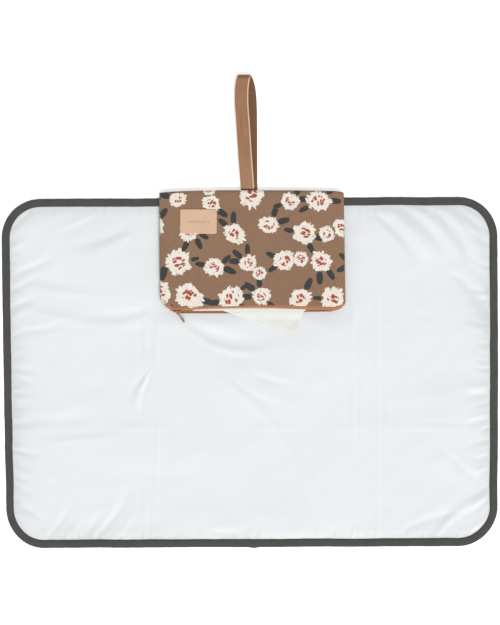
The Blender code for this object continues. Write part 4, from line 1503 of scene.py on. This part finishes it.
def make_zip(cloth, nylon, metal):
    """Both tapes, both coils, the stops, the slider and its pull."""
    for side, edge, sign, coil_z in (
        ("front", FRONT_TAPE_EDGE, 1, FRONT_COIL_Z),
        ("back", BACK_TAPE_EDGE, -1, BACK_COIL_Z),
    ):
        tape = make_tape("tape_" + side, edge, sign, cloth)
        stand_in(tape, "zip_tape", "zip_tape_" + side)
        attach(tape, "pouch")
        coil = make_coil("coil_" + side, edge, coil_z, sign, nylon)
        stand_in(coil, "zip_teeth", "zip_teeth_" + side)
        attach(coil, "pouch")
        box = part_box("zip_top_stop_" + side)
        middle = (box[0].x + box[1].x) / 2
        y = float(through(edge, middle))
        stop = make_stop("top_stop_" + side, middle, y, box[0].z, box[1].z, metal)
        stand_in(stop, "zip_metal", "zip_top_stop_" + side)
        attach(stop, "pouch")
    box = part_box("zip_bottom_stop")
    middle = (box[0].x + box[1].x) / 2
    stop = make_stop("bottom_stop", middle, BOTTOM_STOP_Y, box[0].z, box[1].z, metal)
    stand_in(stop, "zip_metal", "zip_bottom_stop")
    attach(stop, "pouch")
    soften("zip_slider", metal, SLIDER_ROUNDING)
    make_pull(metal)


# ---------------------------------------------------------------- the tag

TAG_STEP = 0.0004
TAG_CORNER = 0.0022
TAG_ROUNDING = 0.00045
STAMP_COUNT = 7
STAMP_PITCH = 0.0047
STAMP_HALF_WIDTH = 0.0019
STAMP_HALF_HEIGHT = 0.0023
STAMP_DEPTH = 0.00034
STAMP_LIP = 0.00006
TAG_RIM = 0.0003


def make_tag(material):
    """A leather plate with cut, rounded edges, pressed with a row of small lozenges."""
    low, high = TAG_BOX
    middle = (low + high) / 2
    half_x = (high.x - low.x) / 2
    half_y = (high.y - low.y) / 2
    thick = high.z - low.z
    rows = round(2 * half_y / TAG_STEP)
    columns = round(2 * half_x / TAG_STEP)
    y = half_y * np.linspace(-1, 1, rows)
    over = np.clip(np.abs(y) - (half_y - TAG_CORNER), 0, TAG_CORNER)
    reach = half_x - TAG_CORNER + np.sqrt(TAG_CORNER**2 - over**2)
    x = np.linspace(-1, 1, columns)[None, :] * reach[:, None]
    y = np.broadcast_to(y[:, None], x.shape)
    inside = np.minimum(reach[:, None] - np.abs(x), half_y - np.abs(y))
    round_off = TAG_ROUNDING * (1 - np.sqrt(1 - np.clip(1 - inside / TAG_ROUNDING, 0, 1) ** 2))
    last = STAMP_COUNT // 2
    nearest = np.clip(np.round(x / STAMP_PITCH), -last, last) * STAMP_PITCH
    lozenge = np.abs(x - nearest) / STAMP_HALF_WIDTH + np.abs(y) / STAMP_HALF_HEIGHT
    press = eased((1.12 - lozenge) / 0.30)
    lip = STAMP_LIP * bump(lozenge - 1.35, 0.22)
    place_x = middle.x + x
    place_y = middle.y + y
    z = front_height(place_x, place_y) + 0.0001 + thick
    z = z - round_off - STAMP_DEPTH * press + lip + 0.00008 * noise_field(x, y, 0.02, 0.02, 23.0)
    points = stacked(place_x, place_y, z)
    mesh = grid_mesh("tag_plate", points, points[..., :2])
    rim = np.clip(1 - inside / TAG_RIM, 0, 1)
    set_uv(mesh, "press", stacked(press, rim))
    tag = thicken(link("tag_plate", mesh, material), thick)
    stand_in(tag, "tag_leather", "leather_tag")
    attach(tag, "pouch")


# ---------------------------------------------------------------- the strap

BAND_HALF_WIDTH = 0.0096
BAND_HALF_THICKNESS = 0.0009
BAND_SKIVED = 0.55
BAND_STEP = 0.0012
# The band's round, from its top left corner: across, in half widths, and an inset from
# there; out, in half thicknesses; whether it is the inner face, and whether a cut edge.
BAND_SECTION = (
    (-1.0, 0.00060, 1.0, 0, 0), (-0.8, 0, 1.0, 0, 0), (-0.55, 0, 1.0, 0, 0), (-0.3, 0, 1.0, 0, 0),
    (0.0, 0, 1.0, 0, 0), (0.3, 0, 1.0, 0, 0), (0.55, 0, 1.0, 0, 0), (0.75, 0, 1.0, 0, 0),
    (1.0, -0.00190, 1.0, 0, 0), (1.0, -0.00165, 0.96, 0, 1), (1.0, -0.00080, 0.62, 0, 1),
    (1.0, -0.00012, 0.10, 0, 1), (1.0, 0, -0.40, 0, 1), (1.0, -0.00010, -0.80, 0, 1),
    (1.0, -0.00035, -1.0, 1, 0), (0.7, 0, -1.0, 1, 0), (0.35, 0, -1.0, 1, 0),
    (0.0, 0, -1.0, 1, 0), (-0.35, 0, -1.0, 1, 0), (-0.7, 0, -1.0, 1, 0),
    (-1.0, 0.00040, -1.0, 1, 0), (-1.0, 0.00010, -0.75, 0, 1), (-1.0, 0, 0.0, 0, 1),
    (-1.0, 0.00015, 0.75, 0, 1),
)
# How far each leg stands aside of the middle, as (y, x).
LOWER_SHIFT = metres(
    (250, 1.3), (330, 1.2), (365, 0.9), (385, 0.3), (400, -1.2), (412, -4.2), (419, -6.6),
)
UPPER_SHIFT = metres(
    (250, -2.6), (258, -2.9), (300, -6.2), (338, -8.7), (379, -11.6), (399, -11.4), (413.6, -9.2),
    (419, -6.8),
)
# The band's two ends, as (y, z): out over the binding, and back down to it.
STRAP_START = metres(
    (249, 0.8), (253, 0.9), (257.5, 1.6), (262.5, 2.8), (272, 2.7), (288, 1.7),
)
STRAP_END = metres(
    (305, 11), (285, 9.1), (270, 6.5), (262.5, 5.1), (258, 3.7), (254.5, 2.4), (251.5, 2.1),
    (249, 2.1),
)
# Where the band is sewn in, and how far from there a shadow is painted on it.
STRAP_SEWN_Y = 0.2572
STRAP_SEWN_REACH = 0.0032
# It thickens from its skived end over this stretch.
SKIVE_START = 0.2535
SKIVE_LENGTH = 0.006
STRAP_WAVE = 0.00025
STRAP_ROLL = 0.030
TIP_NARROWING = 0.07


def strap_centreline():
    """Points (y, z) along the band, out along the lower leg, round the tip and back."""
    high = STRAP_BOX[1].z - BAND_HALF_THICKNESS
    low = STRAP_BOX[0].z + BAND_HALF_THICKNESS
    radius = (high - low) / 2
    tip = STRAP_BOX[1].y - BAND_HALF_THICKNESS - radius
    points = [*STRAP_START, (0.305, low + 0.0001)]
    points += [(y, low) for y in np.linspace(0.315, tip - 0.012, 12)]
    for angle in np.linspace(-math.pi / 2, math.pi / 2, 15):
        points.append(polar(tip, low + radius, angle, radius))
    points += [(y, high) for y in np.linspace(tip - 0.010, 0.325, 12)]
    return resample(np.array([*points, *STRAP_END]), BAND_STEP)


def resample(points, step):
    """Even points along a path through some points, with its corners softened."""
    run = run_along(points)
    return smoothed(at_length(points, run, np.linspace(0, run[-1], round(run[-1] / step))), 3)


def make_strap(material):
    """A flat leather loop, out along the table, round its tip and back above itself."""
    line = strap_centreline()
    tip = int(np.argmax(line[:, 0]))
    section = np.array(BAND_SECTION)
    widths = section[:, 0] * BAND_HALF_WIDTH + section[:, 1]
    heights = section[:, 2] * BAND_HALF_THICKNESS
    tables = [LOWER_SHIFT] * tip + [UPPER_SHIFT] * (len(line) - tip)
    shifts = smoothed([through(table, y) for table, y in zip(tables, line[:, 0])], 12)
    rings = []
    worn = []
    for index, (y, z) in enumerate(line):
        before = line[max(index - 1, 0)]
        after = line[min(index + 1, len(line) - 1)]
        along = (after - before) / np.linalg.norm(after - before)
        narrow = 1 - TIP_NARROWING * max(0.0, 1 - abs(index - tip) / 9)
        # Masks for the painted shade round the tip and the painted shadow where the band is sewn
        # in.
        fold = max(0.0, 1 - abs(index - tip - 4) / 4.5)
        sewn = max(0.0, 1 - abs(y - STRAP_SEWN_Y) / STRAP_SEWN_REACH)
        worn.append([(fold, sewn)] * len(section))
        grown = min(1.0, max(0.0, (y - SKIVE_START) / SKIVE_LENGTH))
        skive = BAND_SKIVED + (1 - BAND_SKIVED) * grown
        wave = STRAP_WAVE * smooth_noise(index * BAND_STEP, 0.0, 0.030, 31.0) * (y > 0.28)
        roll = STRAP_ROLL * smooth_noise(index * BAND_STEP, 0.0, 0.070, 33.0) * (y > 0.27)
        across = widths * narrow
        lift = heights * skive + across * roll
        level, high = y + along[1] * lift, z - along[0] * lift + wave
        rings.append(stacked(shifts[index] + across, level, high))
    rings = np.array(rings)
    rings[..., 2] = np.maximum(rings[..., 2], 0.00005)
    mesh = sweep_mesh("strap_band", rings)
    set_uv(mesh, "side", np.tile(section[:, 3:], (len(rings), 1)))
    set_uv(mesh, "worn", worn)
    strap = link("strap_band", mesh, material)
    stand_in(strap, "strap_leather", "wrist_strap")
    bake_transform(strap)


HINGE_STEP = 0.0006
HINGE_THICKNESS = 0.0003
HINGE_PATH = metres(
    (242, 3.12), (244.5, 3.12), (246.5, 3), (249, 2.85), (251.5, 2.9),
)


def make_hinge(material):
    """The canvas strip that joins the pouch's back to the mat's top edge."""
    x = np.linspace(POUCH_LEFT + 0.004, POUCH_RIGHT - 0.006, 110)[None, :]
    y, z = resample(HINGE_PATH, HINGE_STEP).T[..., None]
    y = y + x * 0
    points = stacked(x, y, z + 0.00003 * noise_field(x + y * 0, y, 0.01, 0.01, 41.0))
    mesh = grid_mesh("hinge_web", points, points[..., :2])
    web = thicken(link("hinge_web", mesh, material), HINGE_THICKNESS)
    stand_in(web, "floral_canvas", "hinge_tape")
    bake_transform(web)


# ---------------------------------------------------------------- the cotton cloth

CLOTH_CORNER = Vector((0.0648, 0.0523))
CLOTH_LONG = 0.130
CLOTH_SHORT = 0.099
CLOTH_TURN = math.radians(161.3)
# Where the zip's mouth is, and how far out of it the cloth reaches the mat.
MOUTH_Y = 0.0865
MOUTH_REACH = 0.014
CLOTH_SAG = 0.0025
PLY = 0.00030
# The two plies that hang out: name, extra turn, corner's shift, lift and seed.
PLIES = (
    ("under", 0.0, (0.0, 0.0), 0.0, 51.0),
    ("upper", math.radians(-2.6), (-0.0012, 0.0026), 0.00046, 53.0),
)
INNER_LOW = (-0.0800, 0.0872)
INNER_HIGH = (0.0790, 0.1700)
INNER_LIFT = 0.0013
INNER_SEED = 58.0
PLY_GRID = (76, 64)
INNER_GRID = (80, 40)


def make_ply(name, x, y, uvs, lift, seed, material):
    """One layer of the cloth: level inside the pouch and sagging onto the mat outside it."""
    outside = eased((MOUTH_Y - y) / MOUTH_REACH)
    drape = 0.5 + 0.5 * noise_field(x, y, 0.022, 0.026, seed + 1)
    folds = 0.0007 * (1 - np.abs(noise_field(x * 0.8 - y * 0.5, y, 0.020, 0.060, seed + 2)) * 2.2)
    z = CLOTH_BOX[0].z + 0.0004 + lift - CLOTH_SAG * outside
    z = z + (0.0003 * drape + np.clip(folds, -0.0001, 0.0005)) * (0.2 + 0.8 * outside)
    mesh = grid_mesh(name, stacked(x, y, z), uvs, flip=True)
    piece = thicken(link(name, mesh, material), PLY)
    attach(piece, "cloth")
    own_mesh(piece)
    return piece


def level_grid(low, high, counts):
    """Tables of x and y for evenly spaced places in a box."""
    return np.meshgrid(*[np.linspace(*line) for line in zip(low, high, counts)])


def make_cloth(material):
    """A folded cotton cloth in the pocket, in three plies, with one corner hanging out."""
    a, b = level_grid((0, 0), (CLOTH_LONG, CLOTH_SHORT), PLY_GRID)
    for ply, turn, corner, lift, seed in PLIES:
        angle = CLOTH_TURN + turn
        bow = 0.0006 * np.sin(a / CLOTH_LONG * 2.6 * math.pi) + 0.0004 * waver(a, 0.02, seed)
        x = CLOTH_CORNER.x + corner[0] + a * math.cos(angle) + b * math.sin(CLOTH_TURN)
        y = CLOTH_CORNER.y + corner[1] + a * math.sin(angle) - b * math.cos(CLOTH_TURN)
        y = y + bow * np.exp(-b / 0.02)
        piece = make_ply("cloth_" + ply, x, y, stacked(a, b), lift, seed, material)
        if ply == "under":
            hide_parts("pocket_cloth")
    x, y = level_grid(INNER_LOW, INNER_HIGH, INNER_GRID)
    y = y + 0.0005 * waver(x, 0.03, 57.0)
    make_ply("cloth_inner", x, y, stacked(x, y), INNER_LIFT, INNER_SEED, material)


# ---------------------------------------------------------------- the studio

CAMERA_PLACE = (0.0004, 0.0845, 2.0800)
LENS = 85.0
SENSOR = 36.0
SKY_STRENGTH = 0.60
WINDOW_STRENGTH = 2.45
WINDOW_SIDE = (0.28, -0.80, 0.95)
WINDOW_SPREAD = math.radians(28)
FLOOR_GLOW = 0.38
FLOOR_REACH = 30.0
FLOOR_CORNERS = ((-1, -1), (1, -1), (1, 1), (-1, 1))
FLOOR_Z = -0.0003
HORIZON_STRENGTH = 1.02
# Sines of the heights above the horizon between which the sky brightens.
HORIZON_RISE = (0.34, 0.17)


def pale_floor():
    """Off-white paper with a faint glow of its own, which keeps shadows light."""
    f = Finish("pale_floor", Roughness=0.9, Specular_IOR_Level=0.1, Emission_Strength=FLOOR_GLOW)
    feed(f.tree, (1.0, 1.0, 1.0), f.shader.inputs["Emission Color"])
    cloud = f.noise(f.place(), 3.0, 2.0)
    return f.paint(f.mix(cloud, (0.905, 0.905, 0.905), (0.915, 0.915, 0.915)))


def make_studio():
    """A pale floor, a white sky that is brighter low down, a soft lamp and the camera."""
    mesh = bpy.data.meshes.new("floor")
    corners = [(x * FLOOR_REACH, y * FLOOR_REACH, FLOOR_Z) for x, y in FLOOR_CORNERS]
    mesh.from_pydata(corners, [], [(0, 1, 2, 3)])
    floor = link("floor", mesh, pale_floor())
    world = bpy.data.worlds.new("sky")
    world.use_nodes = True
    tree = world.node_tree
    sky = tree.nodes["Background"]
    sky.inputs["Color"].default_value = (1.0, 1.0, 1.0, 1.0)
    way = tree.nodes.new("ShaderNodeTexCoord").outputs["Generated"]
    _, _, rise = Value(tree, way).split()
    near = rise.step(*HORIZON_RISE)
    feed(tree, near * (HORIZON_STRENGTH - SKY_STRENGTH) + SKY_STRENGTH, sky.inputs["Strength"])
    bpy.context.scene.world = world
    lamp = bpy.data.lights.new("window", "SUN")
    lamp.energy = WINDOW_STRENGTH
    lamp.angle = WINDOW_SPREAD
    window = bpy.data.objects.new("window", lamp)
    window.rotation_euler = (-Vector(WINDOW_SIDE)).to_track_quat("-Z", "Y").to_euler()
    bpy.context.scene.collection.objects.link(window)
    lens = bpy.data.cameras.new("camera")
    lens.lens = LENS
    lens.sensor_width = SENSOR
    camera = bpy.data.objects.new("camera", lens)
    camera.location = CAMERA_PLACE
    bpy.context.scene.collection.objects.link(camera)
    bpy.context.scene.camera = camera
    bpy.context.scene.view_settings.view_transform = "Standard"


def make_pad():
    """Every piece of the pad, each in its own material."""
    canvas = printed_canvas()
    plain = plain_canvas()
    dark_thread = sewing_thread("dark_thread", (0.030, 0.030, 0.028), (0.075, 0.074, 0.070))
    brown_thread = sewing_thread("brown_thread", (0.200, 0.120, 0.070), (0.330, 0.210, 0.130))
    make_top_sheet(coated_sheet())
    make_under_layers(canvas, wadding_felt())
    make_binding(binding_tape(), dark_thread)
    make_pouch(canvas, plain, brown_thread)
    make_zip(zip_tape_cloth(), nylon_coil(), copper_metal())
    make_tag(tag_leather())
    make_strap(strap_leather())
    make_hinge(plain)
    make_cloth(cotton_muslin())


make_pad()
make_studio()
